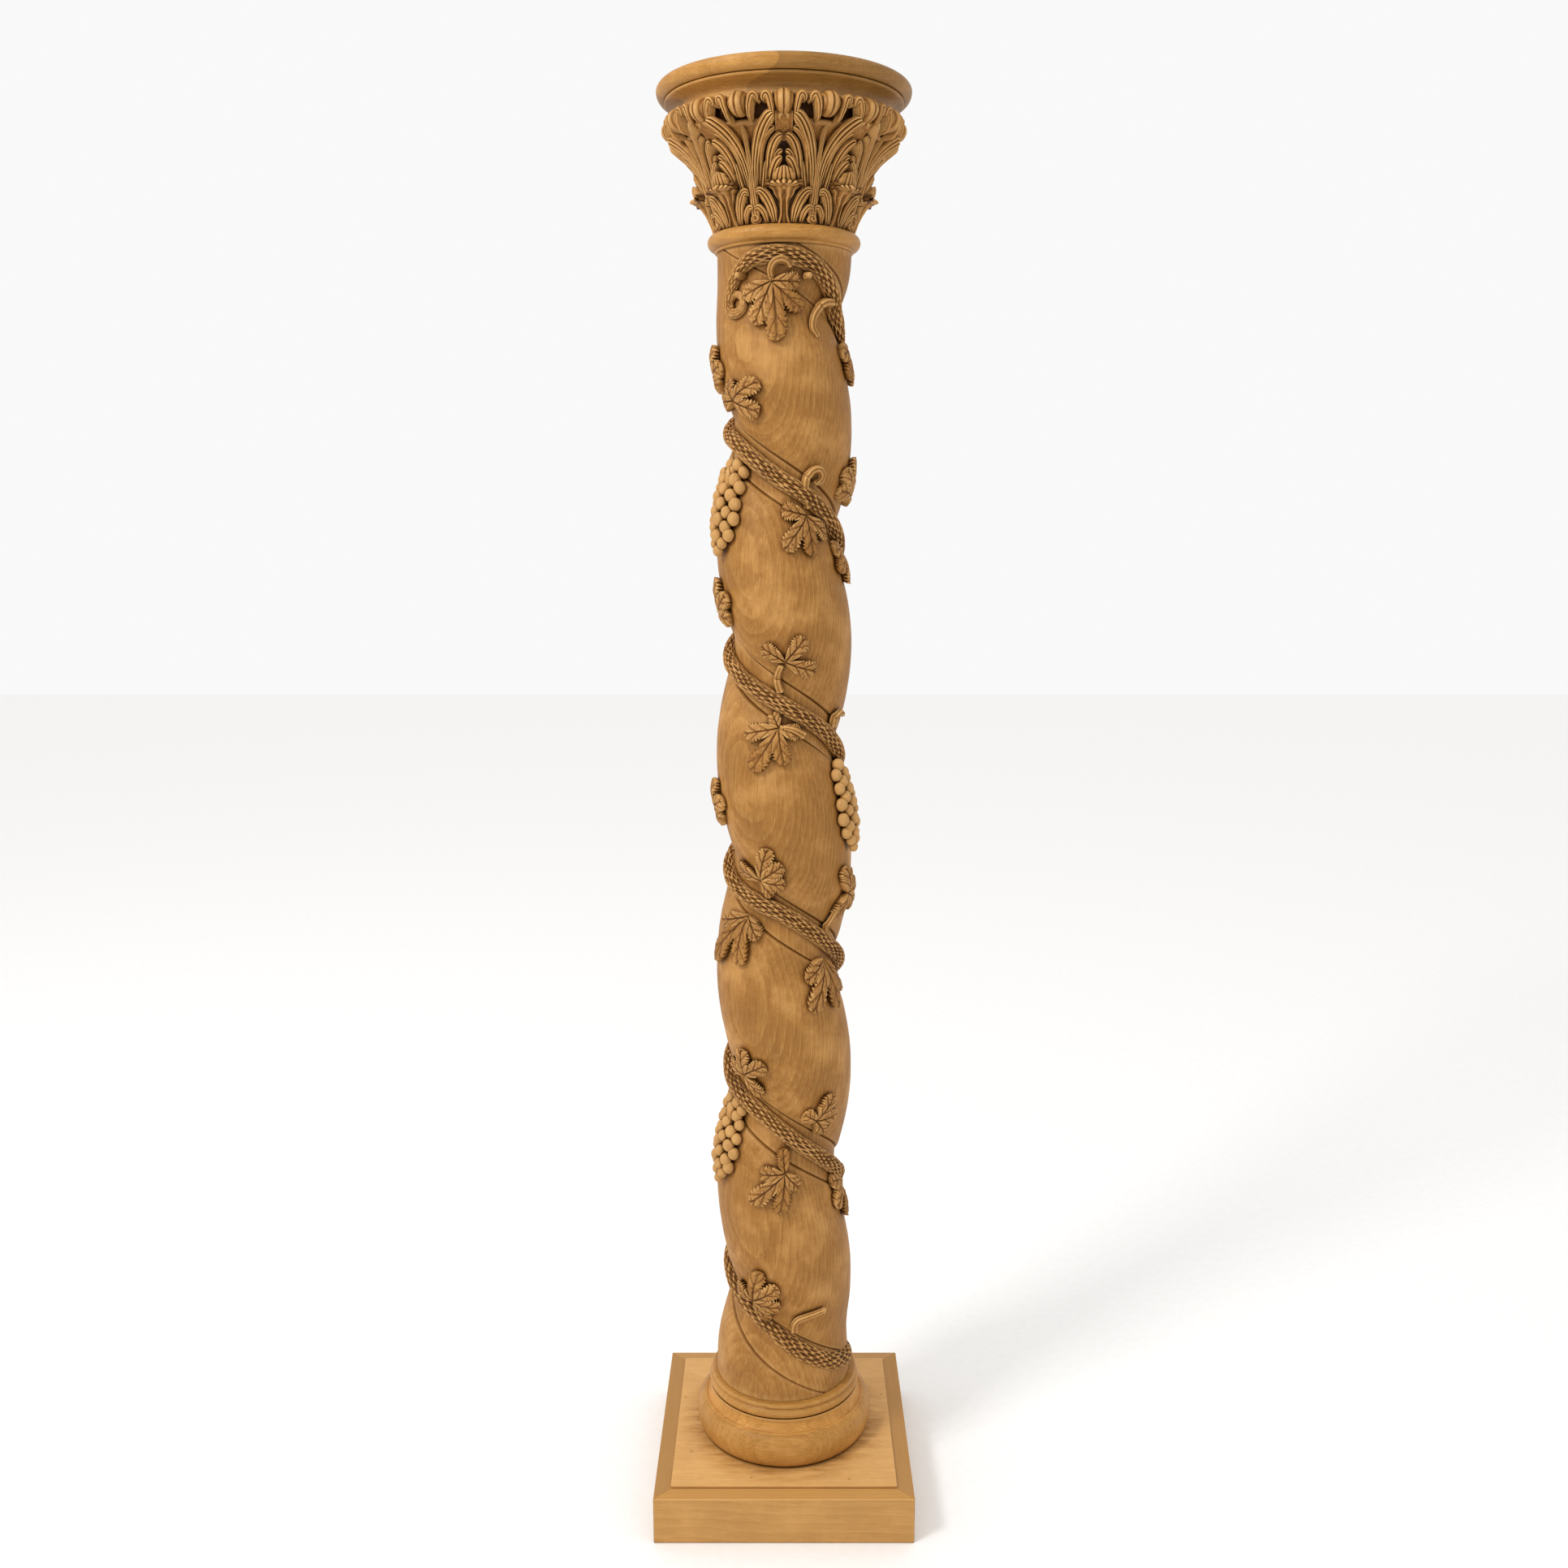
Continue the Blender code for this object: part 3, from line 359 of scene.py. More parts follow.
studio = {
    "cameraPlace": (0.0, -2.418, 1.6986), "cameraDown": 10.23, "lens": 33.54,
    "world": 0.95, "key": 88.0, "keyPlace": (-2.5, -2.1, 4.0), "keySize": 0.9,
    "keyAim": (0.0, 0.0, 1.1), "floor": "#fbfaf8", "floorSpeck": "#f8f7f5", "floorSide": 24.0,
}


def aimed(place, target):
    return (Vector(target) - Vector(place)).to_track_quat("-Z", "Y").to_euler()


def makeStudio(look):
    camera = bpy.data.objects.new("camera", bpy.data.cameras.new("camera"))
    camera.data.lens = look["lens"]
    camera.data.sensor_width = 36.0
    camera.location = look["cameraPlace"]
    camera.rotation_euler = (math.radians(90.0 - look["cameraDown"]), 0.0, 0.0)
    bpy.context.scene.collection.objects.link(camera)
    bpy.context.scene.camera = camera
    world = bpy.data.worlds.new("studio")
    world.use_nodes = True
    feed(world.node_tree, world.node_tree.nodes["Background"], {
        "Color": (1.0, 1.0, 1.0, 1.0), "Strength": look["world"]})
    bpy.context.scene.world = world
    key = bpy.data.objects.new("keyLight", bpy.data.lights.new("keyLight", "AREA"))
    key.data.energy = look["key"]
    key.data.size = look["keySize"]
    key.location = look["keyPlace"]
    key.rotation_euler = aimed(look["keyPlace"], look["keyAim"])
    bpy.context.scene.collection.objects.link(key)
    bm = bmesh.new()
    bmesh.ops.create_grid(bm, x_segments=1, y_segments=1, size=look["floorSide"] / 2.0)
    mesh = bpy.data.meshes.new("floor")
    bm.to_mesh(mesh)
    bm.free()
    floor = bpy.data.objects.new("floor", mesh)
    bpy.context.scene.collection.objects.link(floor)
    paint = bpy.data.materials.new("floor, matt paint")
    paint.use_nodes = True
    tree = paint.node_tree
    speck = addNode(tree, "TexNoise", {"Vector": addNode(tree, "TexCoord").outputs["Object"], "Scale": 60.0})
    tint = addNode(tree, "ValToRGB", {"Fac": speck}, [
        (0.3, linear(look["floorSpeck"])), (0.7, linear(look["floor"]))])
    feed(tree, tree.nodes["Principled BSDF"], {"Base Color": tint, "Roughness": 0.85})
    mesh.materials.append(paint)
    bpy.context.scene.view_settings.view_transform = "Standard"


makeStudio(studio)
print("studio made")


# turned pieces

def turnedPiece(outline, steps):
    bm = bmesh.new()
    corners = [bm.verts.new((radius, 0.0, height)) for radius, height in outline]
    edges = [bm.edges.new(pair) for pair in zip(corners, corners[1:])]
    bmesh.ops.spin(bm, geom=corners + edges, cent=(0.0, 0.0, 0.0), axis=(0.0, 0.0, 1.0),
                   steps=steps, angle=fullTurn, use_merge=True)
    bmesh.ops.remove_doubles(bm, verts=bm.verts, dist=1e-5)
    return bm


base = {"seat": 0.12575, "torus": 0.156, "torusHeight": 0.06, "scotia": 0.019, "fillet": 0.003,
        "roll": 0.017, "bead": 0.009, "step": 0.0035, "turnSteps": 144}


def makeBase(look):
    bottom = levels["baseBottom"]
    bead, roll, torus = look["bead"] / 2, look["roll"] / 2, look["torusHeight"] / 2
    rollRadius = look["seat"] + bead + look["step"]
    filletRadius = rollRadius - look["step"] / 2
    neck = filletRadius + 2 * look["step"]
    scotiaBottom = bottom + look["torusHeight"]
    scotiaTop = scotiaBottom + look["scotia"]
    rollBottom = scotiaTop + look["fillet"]
    beadBottom = rollBottom + look["roll"]
    top = beadBottom + look["bead"]
    outline = [(0.0, top), (look["seat"], top)]
    outline += arc((look["seat"], beadBottom + bead), (bead, bead), 84, -62, 12)
    outline += arc((rollRadius - roll, rollBottom + roll), (roll, roll), 66, -74, 14)
    outline += [(filletRadius, rollBottom + 0.0004), (filletRadius, scotiaTop)]
    outline += arc((neck, scotiaTop), (neck - filletRadius + look["step"], look["scotia"]), 188, 264, 14)
    outline += [(neck + look["step"] / 2, scotiaBottom + 0.0012), (neck + look["step"] / 2 + 0.0004, scotiaBottom)]
    outline += arc((neck, bottom + torus), (look["torus"] - neck, torus), 66, -88, 26)
    outline += [(0.0, bottom)]
    finishPiece(turnedPiece(outline, look["turnSteps"]), "turnedBase", ["base"], baseTeak, 35.0)


astragal = {"inside": 0.10925, "roll": 0.01125, "fillet": 0.004, "turnSteps": 128}


def makeAstragal(look):
    roll = look["roll"]
    bottom = levels["astragalBottom"]
    middle = bottom + look["fillet"] + roll
    outline = [(0.0, middle + roll), (look["inside"] - 0.001, middle + roll)]
    outline += arc((look["inside"], middle), (roll, roll), 88, -80, 22)
    outline += [(look["inside"] + 0.0006, middle - roll + 0.0002), (look["inside"], bottom + 0.0006),
                (look["inside"] - 0.0008, bottom), (0.0, bottom)]
    finishPiece(turnedPiece(outline, look["turnSteps"]), "turnedAstragal", ["astragal"], turnedTeak,
                35.0)


abacus = {"radius": 0.198, "height": 0.047, "rim": 0.023, "bead": 0.005, "overhang": 0.012, "neck": 0.165,
          "neckHeight": 0.006, "turnSteps": 160}


def makeAbacus(look):
    bottom = levels["abacusBottom"]
    top = bottom + look["height"]
    upper = look["rim"] * 0.4
    lower = look["rim"] - upper
    bead = look["bead"] / 2
    beadRadius = look["radius"] - look["overhang"]
    rimBottom = top - look["rim"]
    coveTop = rimBottom - look["bead"]
    neckTop = bottom + look["neckHeight"]
    outline = [(0.0, top), (beadRadius - 0.004, top)]
    outline += arc((beadRadius, top - upper), (look["overhang"], upper), 86, 0, 12)
    outline += arc((beadRadius, top - upper), (look["overhang"], lower), -8, -84, 14)
    outline += [(beadRadius - bead * 0.6, rimBottom + 0.0002)]
    outline += arc((beadRadius - bead, rimBottom - bead), (bead, bead), 76, -66, 9)
    outline += arc((beadRadius, neckTop), (beadRadius - look["neck"], coveTop - neckTop), 104, 180, 16)
    outline += [(look["neck"], bottom), (0.0, bottom)]
    finishPiece(turnedPiece(outline, look["turnSteps"]), "turnedAbacus", ["abacus"], abacusTeak, 35.0)


makeBase(base)
makeAstragal(astragal)
makeAbacus(abacus)


# plinth

plinth = {"side": 0.44, "edge": 0.0022, "boardGap": 0.0002, "core": 0.01, "frame": 0.028,
          "panelThickness": 0.005, "panelEdge": 0.0012}


def makePlinth(look):
    half = look["side"] / 2.0
    # four mitred boards with their grain round the plinth, each a wedge down to a small core
    bm = bmesh.new()
    grainPlace = bm.verts.layers.float_vector.new("boardPlace")
    for quarter in range(4):
        made = bmesh.ops.create_cube(bm, size=1.0)["verts"]
        for vert in made:
            reach = half if vert.co.y < 0.0 else look["core"]
            across = (reach - look["boardGap"]) * (1.0 if vert.co.x > 0.0 else -1.0)
            height = levels["plinthTop"] if vert.co.z > 0.0 else 0.0
            vert.co = (across, -reach, height)
            vert[grainPlace] = vert.co + Vector((0.7, 0.013, 0.004)) * quarter
        bmesh.ops.rotate(bm, verts=made, matrix=Matrix.Rotation(quarter * math.pi / 2.0, 3, "Z"))
    rims = [edge for edge in bm.edges
            if all(max(abs(vert.co.x), abs(vert.co.y)) > half - 0.01 for vert in edge.verts)]
    bmesh.ops.bevel(bm, geom=rims, offset=look["edge"], segments=3, affect="EDGES", profile=0.5, material=-1)
    finishPiece(bm, "plinthBoards", ["plinth"], planedTeak, 30.0)
    bm = bmesh.new()
    side = look["side"] - 2.0 * look["frame"]
    bottom = levels["panelBottom"]
    size = Matrix.Diagonal((side, side, look["panelThickness"], 1.0))
    bmesh.ops.create_cube(bm, size=1.0, matrix=Matrix.Translation((0, 0, bottom + look["panelThickness"] / 2)) @ size)
    bmesh.ops.bevel(bm, geom=bm.edges[:], offset=look["panelEdge"], segments=3, affect="EDGES", profile=0.5,
                    material=-1)
    finishPiece(bm, "plinthPanel", ["plinth_panel"], planedPine, 30.0)


makePlinth(plinth)


# shaft: the twist

twist = {"foot": 0.1205, "neck": 0.107, "height": 1.914, "turns": 5.281, "growth": 0.0224, "edgeTurn": 0.183,
         "hollowShare": 0.22, "depth": 0.029, "fullness": 0.8, "lip": 0.004, "fadeHeight": 0.13, "fadeLeft": 0.12,
         "columns": 120, "lobePoints": 34}
wholeTurns = twist["turns"] + twist["growth"] * twist["turns"] ** 2


def fallAt(turn):
    return (turn + twist["growth"] * turn * turn) / wholeTurns


def turnAt(height):
    fallen = (levels["shaftTop"] - height) / twist["height"] * wholeTurns
    return (math.sqrt(max(1.0 + 4.0 * twist["growth"] * fallen, 0.0)) - 1.0) / (2.0 * twist["growth"])


def heightAt(share):
    return levels["shaftBottom"] + share * twist["height"]


def fullRadius(height):
    return mix(twist["foot"], twist["neck"], (height - levels["shaftBottom"]) / twist["height"])


def hollowShare(step):
    band = twist["hollowShare"]
    if step < band:
        return 1.0
    lip = twist["lip"] / twist["depth"]
    return 1.0 - (1.0 - lip) * math.sin(math.pi * (step - band) / (1.0 - band)) ** twist["fullness"] - lip


def fade(height):
    fromEnd = min(levels["shaftTop"] - height, height - levels["shaftBottom"])
    return mix(twist["fadeLeft"], 1.0, smooth(fromEnd / twist["fadeHeight"]))


def coreRadius(degrees, height):
    turn = turnAt(height) - twist["edgeTurn"] - degrees / 360.0
    step = math.ceil(turn) - turn
    return fullRadius(height) - twist["depth"] * hollowShare(step) * fade(height)


def onShaft(degrees, height, lift):
    return placed(degrees, coreRadius(degrees, height) + lift, height)


def degreesRound(length, radius):
    return math.degrees(length / radius)


def bandProfile():
    # steps up one turn, each with its depth in from the full radius: groove, band, groove, lobe
    depth, lip, band = twist["depth"], twist["lip"], twist["hollowShare"]
    profile = [(0.0, depth - lip + 0.0008, 0.2), (0.0016, depth - lip + 0.0018, 0.5), (0.0045, depth + 0.0012, 1.0),
               (0.0075, depth + 0.001, 0.8), (0.011, depth, 0.0)]
    for index in range(1, 12):
        share = index / 12.0
        profile.append((mix(0.011, band - 0.011, share), depth + 0.0012 * math.sin(math.pi * share), 0.0))
    profile += [(band - 0.011, depth, 0.0), (band - 0.007, depth + 0.001, 0.8),
                (band - 0.004, depth + 0.0012, 1.0), (band - 0.0014, depth - lip + 0.0018, 0.5)]
    for index in range(twist["lobePoints"]):
        share = index / twist["lobePoints"]
        eased = 0.5 - 0.5 * math.cos(math.pi * share)
        step = band + (1.0 - band) * mix(share, eased, 0.8)
        inward = depth * hollowShare(step)
        profile.append((step, inward if index else depth - lip + 0.0006, 0.15 if index == 0 else 0.0))
    profile.append((1.0, depth - lip + 0.0008, 0.2))
    return profile


def makeCore():
    profile = bandProfile()
    spare = 0.5
    perTurn = twist["columns"]
    columns = round((twist["turns"] + 2.0 * spare + 1.0) * perTurn)
    bm, waxShadeInCuts = newCarving()
    bmesh.ops.create_grid(bm, x_segments=columns, y_segments=len(profile) - 1, size=1.0)
    for vert in bm.verts:
        column = round((vert.co.x + 1.0) / 2.0 * columns)
        row = round((vert.co.y + 1.0) / 2.0 * (len(profile) - 1))
        step, inward, line = profile[row]
        turn = column / perTurn - spare
        angle = turn * fullTurn
        height = levels["shaftTop"] - fallAt(twist["edgeTurn"] - step + turn) * twist["height"]
        kept = fade(height)
        radius = fullRadius(height) - inward * kept - 0.001 * line * (1.0 - kept)
        spot = Vector((math.sin(angle) * 0.12, -math.cos(angle) * 0.12, height))
        radius += 0.0007 * noise.noise(spot * 16.0) + 0.0003 * noise.noise(spot * 45.0)
        vert.co = (radius * math.sin(angle), -radius * math.cos(angle), height)
        # the band's quirk lines painted dark: brown wax and painted shade
        vert[waxShadeInCuts] = 0.5 * line
    bmesh.ops.remove_doubles(bm, verts=bm.verts, dist=1e-6)
    for level, side in ((levels["shaftTop"], 1.0), (levels["shaftBottom"], -1.0)):
        bmesh.ops.bisect_plane(bm, geom=bm.verts[:] + bm.edges[:] + bm.faces[:], dist=1e-6,
                               plane_co=(0.0, 0.0, level), plane_no=(0.0, 0.0, side), clear_outer=True)
        rim = [edge for edge in bm.edges if edge.is_boundary
               and all(abs(vert.co.z - level) < 1e-6 for vert in edge.verts)]
        bmesh.ops.contextual_create(bm, geom=rim)
    finishPiece(bm, "shaftTwist", ["shaft"], carvedTeak, 38.0)


makeCore()


# shaft: the vine

vine = {"radius": 0.014, "sink": 0.009, "tip": 0.62, "ringStep": 0.0023, "outerColumns": 40, "innerColumns": 4,
        "outerAngle": 118.0, "scaleLength": 0.019, "scaleRow": 0.0043, "scaleDepth": 0.0032, "footGrowth": 0.26,
        "footSink": 0.0125, "footFrom": 1690.0, "footRun": 90.0, "scrollPoints": 56, "scrollTurn": 51.0}
# degrees round the shaft, counted on from turn to turn, and share of the shaft's height
vineRun = (
    (-52, 0.956), (-45, 0.9745), (-29, 0.988), (-8, 0.9912), (13, 0.989), (32, 0.98), (51, 0.964),
    (66, 0.9475), (110, 0.923), (200, 0.883), (270, 0.856), (302, 0.8465), (352, 0.8196), (386, 0.8035),
    (422, 0.7812), (500, 0.733), (600, 0.683), (662, 0.6564), (712, 0.6351), (758, 0.6131), (796, 0.59),
    (870, 0.544), (960, 0.496), (1021, 0.47), (1072, 0.4541), (1101, 0.4396), (1142, 0.4143),
    (1230, 0.364), (1320, 0.314), (1384, 0.284), (1413, 0.2706), (1432, 0.2585), (1470, 0.2321),
    (1528, 0.1951), (1600, 0.159), (1690, 0.114), (1746, 0.0845), (1778, 0.067), (1806, 0.049),
    (1856, 0.0215), (1915, 0.0075),
)


def vinePath(look):
    # points and radii from the scroll's tip to the foot, before they are spaced evenly
    run = easedRun([(degrees, heightAt(share), 0.0) for degrees, share in vineRun], 30)
    reach = look["radius"] + 0.003
    start = run[0]
    centre = start.x + degreesRound(reach, twist["neck"])
    points, radii = [], []
    for index in range(look["scrollPoints"], 0, -1):
        turned = index / 7.0
        angle = math.radians(180.0 + look["scrollTurn"] * turned)
        drawnIn = reach * (1.0 - 0.052 * turned)
        spot = centre + degreesRound(drawnIn * math.cos(angle), twist["neck"])
        points.append(onShaft(spot, start.y + drawnIn * math.sin(angle), look["sink"] * 0.5))
        radii.append(look["radius"] * (look["tip"] - 0.045 * turned))
    for spot in run:
        fromEnd = min(spot.x - run[0].x, run[-1].x - spot.x)
        foot = smooth((spot.x - look["footFrom"]) / look["footRun"])
        points.append(onShaft(spot.x, spot.y, look["radius"] - look["sink"] - look["footSink"] * foot))
        radii.append(look["radius"] * min(1.0, look["tip"] + fromEnd / 90.0) * (1.0 + look["footGrowth"] * foot))
    return points, radii


def evenly(points, radii, step):
    kept = [(points[0], radii[0])]
    walked, wanted = 0.0, step
    for index in range(1, len(points)):
        span = (points[index] - points[index - 1]).length
        while walked + span >= wanted and span > 0.0:
            share = (wanted - walked) / span
            kept.append((points[index - 1].lerp(points[index], share), mix(radii[index - 1], radii[index], share)))
            wanted += step
        walked += span
    return kept


def scaleCut(along, around, look):
    # how deep the carver's lens-shaped gouges are here: 0 on the net of ridges, 1 in a gouge
    wander = noise.noise(Vector((along * 30.0, around * 0.35, 3.0)))
    sway = noise.noise(Vector((along * 34.0, around * 0.15, 11.0)))
    along += 0.007 * wander
    around += 0.85 * sway
    length = look["scaleLength"]
    best = 0.0
    row = math.floor(around)
    for near in (row, row + 1):
        shift = 0.5 * (near % 2)
        cell = round(along / length - shift)
        offset = (along - (cell + shift) * length) / (length * 0.5)
        held = 0.92 + 0.22 * noise.noise(Vector((cell * 3.7, near * 5.3, 0.5)))
        best = max(best, held - abs(offset) ** 1.4 - (abs(around - near) / 0.6) ** 1.5)
    return smooth((best - 0.06) / 0.42)


def makeVine(look):
    points, radii = vinePath(look)
    run = evenly(points, radii, look["ringStep"])
    rings = len(run)
    columns = look["outerColumns"] + look["innerColumns"]
    bm, waxShadeInCuts = newCarving()
    bmesh.ops.create_grid(bm, x_segments=columns, y_segments=rings - 1, size=1.0)
    for vert in bm.verts:
        column = round((vert.co.x + 1.0) / 2.0 * columns)
        ring = round((vert.co.y + 1.0) / 2.0 * (rings - 1))
        here, radius = run[ring]
        ahead = run[min(ring + 1, rings - 1)][0] - run[max(ring - 1, 0)][0]
        ahead.normalize()
        out, side = squareTo(here, ahead)
        outer = look["outerAngle"]
        if column <= look["outerColumns"]:
            angle = mix(-outer, outer, column / look["outerColumns"])
        else:
            angle = mix(outer, 360.0 - outer, (column - look["outerColumns"]) / look["innerColumns"])
        turned = math.radians(angle)
        along = ring * look["ringStep"]
        gouge = 0.0
        if abs(angle) <= outer:
            around = turned * look["radius"] / look["scaleRow"]
            edge = smooth((outer - abs(angle)) / 25.0)
            gouge = scaleCut(along, around, look) * edge * clamp(radius / look["radius"]) ** 1.6
        if ring in (0, rings - 1):
            radius = 0.0
        lumps = 0.0009 * noise.noise(Vector((along * 38.0, turned * 1.2, 0.0)))
        reach = max(radius - look["scaleDepth"] * gouge + lumps, 0.0) if radius else 0.0
        vert.co = here + (out * math.cos(turned) * 0.98 + side * math.sin(turned)) * reach
        # the gouges painted dark: brown wax and painted shade
        vert[waxShadeInCuts] = 0.86 * gouge ** 1.2
    finishPiece(bm, "vineStem", ["shaft"], carvedTeak, 60.0)


makeVine(vine)


# shaft: leaves

leafLook = {"lift": 0.0098, "thick": 0.0034, "across": 16, "along": 54, "vein": 0.0019, "sideVein": 0.0014,
            "puff": 0.0007, "teeth": 11, "toothDepth": 0.34, "leastWidth": 0.0122, "widthGrowth": 0.048,
            "sideVeins": 3.3}
# degrees round, share of height, and each lobe's length in mm and way in degrees (0 down, 90 towards larger angles)
leaves = (
    (-10, 0.9712, ((89, 11), (51, -62), (69, -21), (64, 44), (44, 86))),
    (-47, 0.8801, ((58, 123), (53, 66), (32, -165), (38, -86))),
    (23, 0.7884, ((50, -100), (68, -44), (63, -3), (56, 50))),
    (1, 0.6689, ((50, 141), (46, -123), (54, 68))),
    (-5, 0.6134, ((28, -155), (60, -83), (81, -30), (59, 6), (44, 74))),
    (-22, 0.481, ((61, 167), (52, 126), (46, 83), (63, -114), (34, 44))),
    (66, 0.4647, ((51, -161), (36, 119), (45, 45), (47, -31))),
    (-38, 0.4475, ((66, -75), (108, -44), (81, -9), (44, 42))),
    (44, 0.4085, ((57, -65), (91, -29), (87, 10), (78, 34))),
    (-37, 0.3051, ((48, 176), (51, 126), (48, 46), (40, -120))),
    (30, 0.2638, ((53, 148), (28, -127), (36, 35), (44, 95))),
    (1, 0.2175, ((40, -170), (46, -89), (79, -48), (67, -2), (36, 44))),
    (-29, 0.0921, ((67, 169), (63, 124), (54, 84), (47, 43), (46, -123))),
)
# the other leaves: degrees round, share of height, size in mm, way of the middle lobe
plainLeaves = (
    (80, 0.925, 62, 20), (84, 0.806, 60, 170), (74, 0.762, 58, 10), (-86, 0.9, 56, 160),
    (-74, 0.706, 60, 175), (-82, 0.535, 60, 170), (76, 0.193, 66, -10), (150, 0.856, 66, 10),
    (196, 0.656, 62, 165), (140, 0.506, 66, -20), (214, 0.35, 62, 30), (160, 0.113, 66, 170),
)


def easedRadius(degrees, height):
    # the core's radius with the lips of the band eased out, so that a leaf bridges them
    reach = 0.01
    total = 0.0
    for across in (-1.0, 0.0, 1.0):
        for up in (-1.0, 0.0, 1.0):
            spot = clamp(height + up * reach, levels["shaftBottom"] + 0.001, levels["shaftTop"] - 0.001)
            total += coreRadius(degrees + degreesRound(across * reach, 0.11), spot)
    return max(total / 9.0, coreRadius(degrees, clamp(height, levels["shaftBottom"], levels["shaftTop"])) + 0.001)


def lobeWidth(share):
    # half the lobe's width as a share of its widest: a wedge that joins its neighbours, then a blunt tongue
    if share < 0.5:
        return 0.87 * (share / 0.5) ** 0.74
    if share < 0.74:
        return mix(0.87, 1.0, smooth((share - 0.5) / 0.24))
    return math.sqrt(max(1.0 - ((share - 0.74) / 0.26) ** 2.3, 0.0))


def addLobe(bm, waxShadeInCuts, degrees, share, length, way, rank, look, fine=1.0):
    sheet = bmesh.ops.create_grid(bm, x_segments=2 * round(look["across"] * fine / 2.0),
                                  y_segments=round(look["along"] * fine), size=1.0)["verts"]
    middle = heightAt(share)
    around = fullRadius(middle)
    turned = math.radians(way)
    ahead = (math.sin(turned), -math.cos(turned))
    aside = (math.cos(turned), math.sin(turned))
    bend = 0.1 * math.sin(rank * 2.7 + way)
    widest = look["leastWidth"] + look["widthGrowth"] * length
    low, high = levels["shaftBottom"] + 0.001, levels["shaftTop"] - 0.001
    for vert in sheet:
        across, along = math.copysign(abs(vert.co.x) ** 1.3, vert.co.x), (vert.co.y + 1.0) / 2.0
        width = lobeWidth(along) * widest
        tooth = (along * look["teeth"] + 0.13 * rank) % 1.0
        if along > 0.4:
            width *= 1.0 + look["toothDepth"] * (0.3 - tooth) * smooth((along - 0.4) / 0.1) * abs(across) ** 2.5
        sway = bend * length * along * along
        forward = along * length
        sideways = across * width + sway
        x = forward * ahead[0] + sideways * aside[0]
        y = forward * ahead[1] + sideways * aside[1]
        spot = degrees + degreesRound(x, around)
        height = clamp(middle + y, low, high)
        # relief: midrib cut, side veins, puffed panels, edges rolled down
        fromRib = abs(across) * width
        rib = math.exp(-(fromRib / 0.0012) ** 2) * (1.0 - along) ** 0.25
        slanted = (along - 0.36 * fromRib / widest) * look["sideVeins"] + 0.2 * (1.0 if across > 0.0 else 0.0)
        toVein = abs(slanted - round(slanted))
        side = math.exp(-(toVein / 0.075) ** 2) * smooth((along - 0.2) / 0.1) * (1.0 - 0.35 * abs(across))
        puff = look["puff"] * (math.sin(math.pi * clamp(abs(across))) * (0.4 + 1.4 * toVein))
        arch = 0.0036 * math.sin(math.pi * clamp(along * 1.05)) - 0.0012 * along ** 3
        pit = smooth((noise.noise(Vector((x * 330.0, y * 330.0, rank))) - 0.28) / 0.2) * smooth((along - 0.3) / 0.2)
        lift = look["lift"] + arch + puff - look["vein"] * rib - look["sideVein"] * side - 0.0005 * pit
        lift -= 0.002 * abs(across) ** 4 * smooth((along - 0.4) / 0.2) + 0.0016 * (1.0 - smooth(along / 0.15))
        lift += 0.001 * noise.noise(Vector((x * 70.0, y * 70.0, rank))) + 0.00035 * (rank % 3)
        radius = easedRadius(spot, height) + max(lift, 0.0025)
        vert.co = placed(spot, radius, height)
        # midrib, side veins and pits painted dark: brown wax and painted shade
        vert[waxShadeInCuts] = clamp(max(rib * smooth(along / 0.05), 0.88 * side, 0.6 * pit))

    def toCentre(place, share, drop):
        # drawn towards the lobe's own midline, and in towards the core
        spot = math.degrees(math.atan2(place.x, -place.y))
        radius = math.hypot(place.x, place.y)
        x = math.radians((spot - degrees + 180.0) % 360.0 - 180.0) * around
        y = place.z - middle
        forward = x * ahead[0] + y * ahead[1]
        sideways = x * aside[0] + y * aside[1]
        forward = mix(forward, length * 0.45, share * 0.5)
        sideways = mix(sideways, bend * length * (forward / length) ** 2, share)
        x = forward * ahead[0] + sideways * aside[0]
        y = forward * ahead[1] + sideways * aside[1]
        height = clamp(middle + y, low, high)
        spot = degrees + degreesRound(x, around)
        radius = radius - drop if drop else min(coreRadius(spot, height), easedRadius(spot, height)) - 0.006
        return placed(spot, radius, height)

    rootSheet(bm, sheet, (lambda place: toCentre(place, 0.02, look["thick"]),
                          lambda place: toCentre(place, 0.36, 0.0)))


def makeLeaves(look):
    front, _ = newCarving()
    rank = 0
    for degrees, share, lobes in leaves:
        bm, waxShadeInCuts = newCarving()
        for length, way in lobes:
            addLobe(bm, waxShadeInCuts, degrees, share, length / 1000.0, way, rank, look, 0.95)
            rank += 1
        joinInto(front, bm)
        bm.free()
    finishPiece(front, "frontLeaves", ["shaft"], carvedTeak, 50.0)
    others, _ = newCarving()
    for degrees, share, size, way in plainLeaves:
        bm, waxShadeInCuts = newCarving()
        for index, part in enumerate((0.62, 0.86, 1.0, 0.84, 0.6)):
            addLobe(bm, waxShadeInCuts, degrees, share, size / 1000.0 * part, way + (index - 2) * 47.0, rank, look, 0.8)
            rank += 1
        joinInto(others, bm)
        bm.free()
    finishPiece(others, "otherLeaves", ["shaft"], carvedTeak, 50.0)


makeLeaves(leafLook)


# shaft: grapes

grapes = {"berry": (0.0097, 0.0096, 0.011), "rowStep": 0.0122, "sideStep": 0.0158, "core": (0.01, 0.008)}
# degrees round, share of height at the top, rows of berries
bunches = ((-60, 0.833, 12), (68, 0.58, 12), (-62, 0.276, 12), (170, 0.698, 10), (205, 0.198, 8))


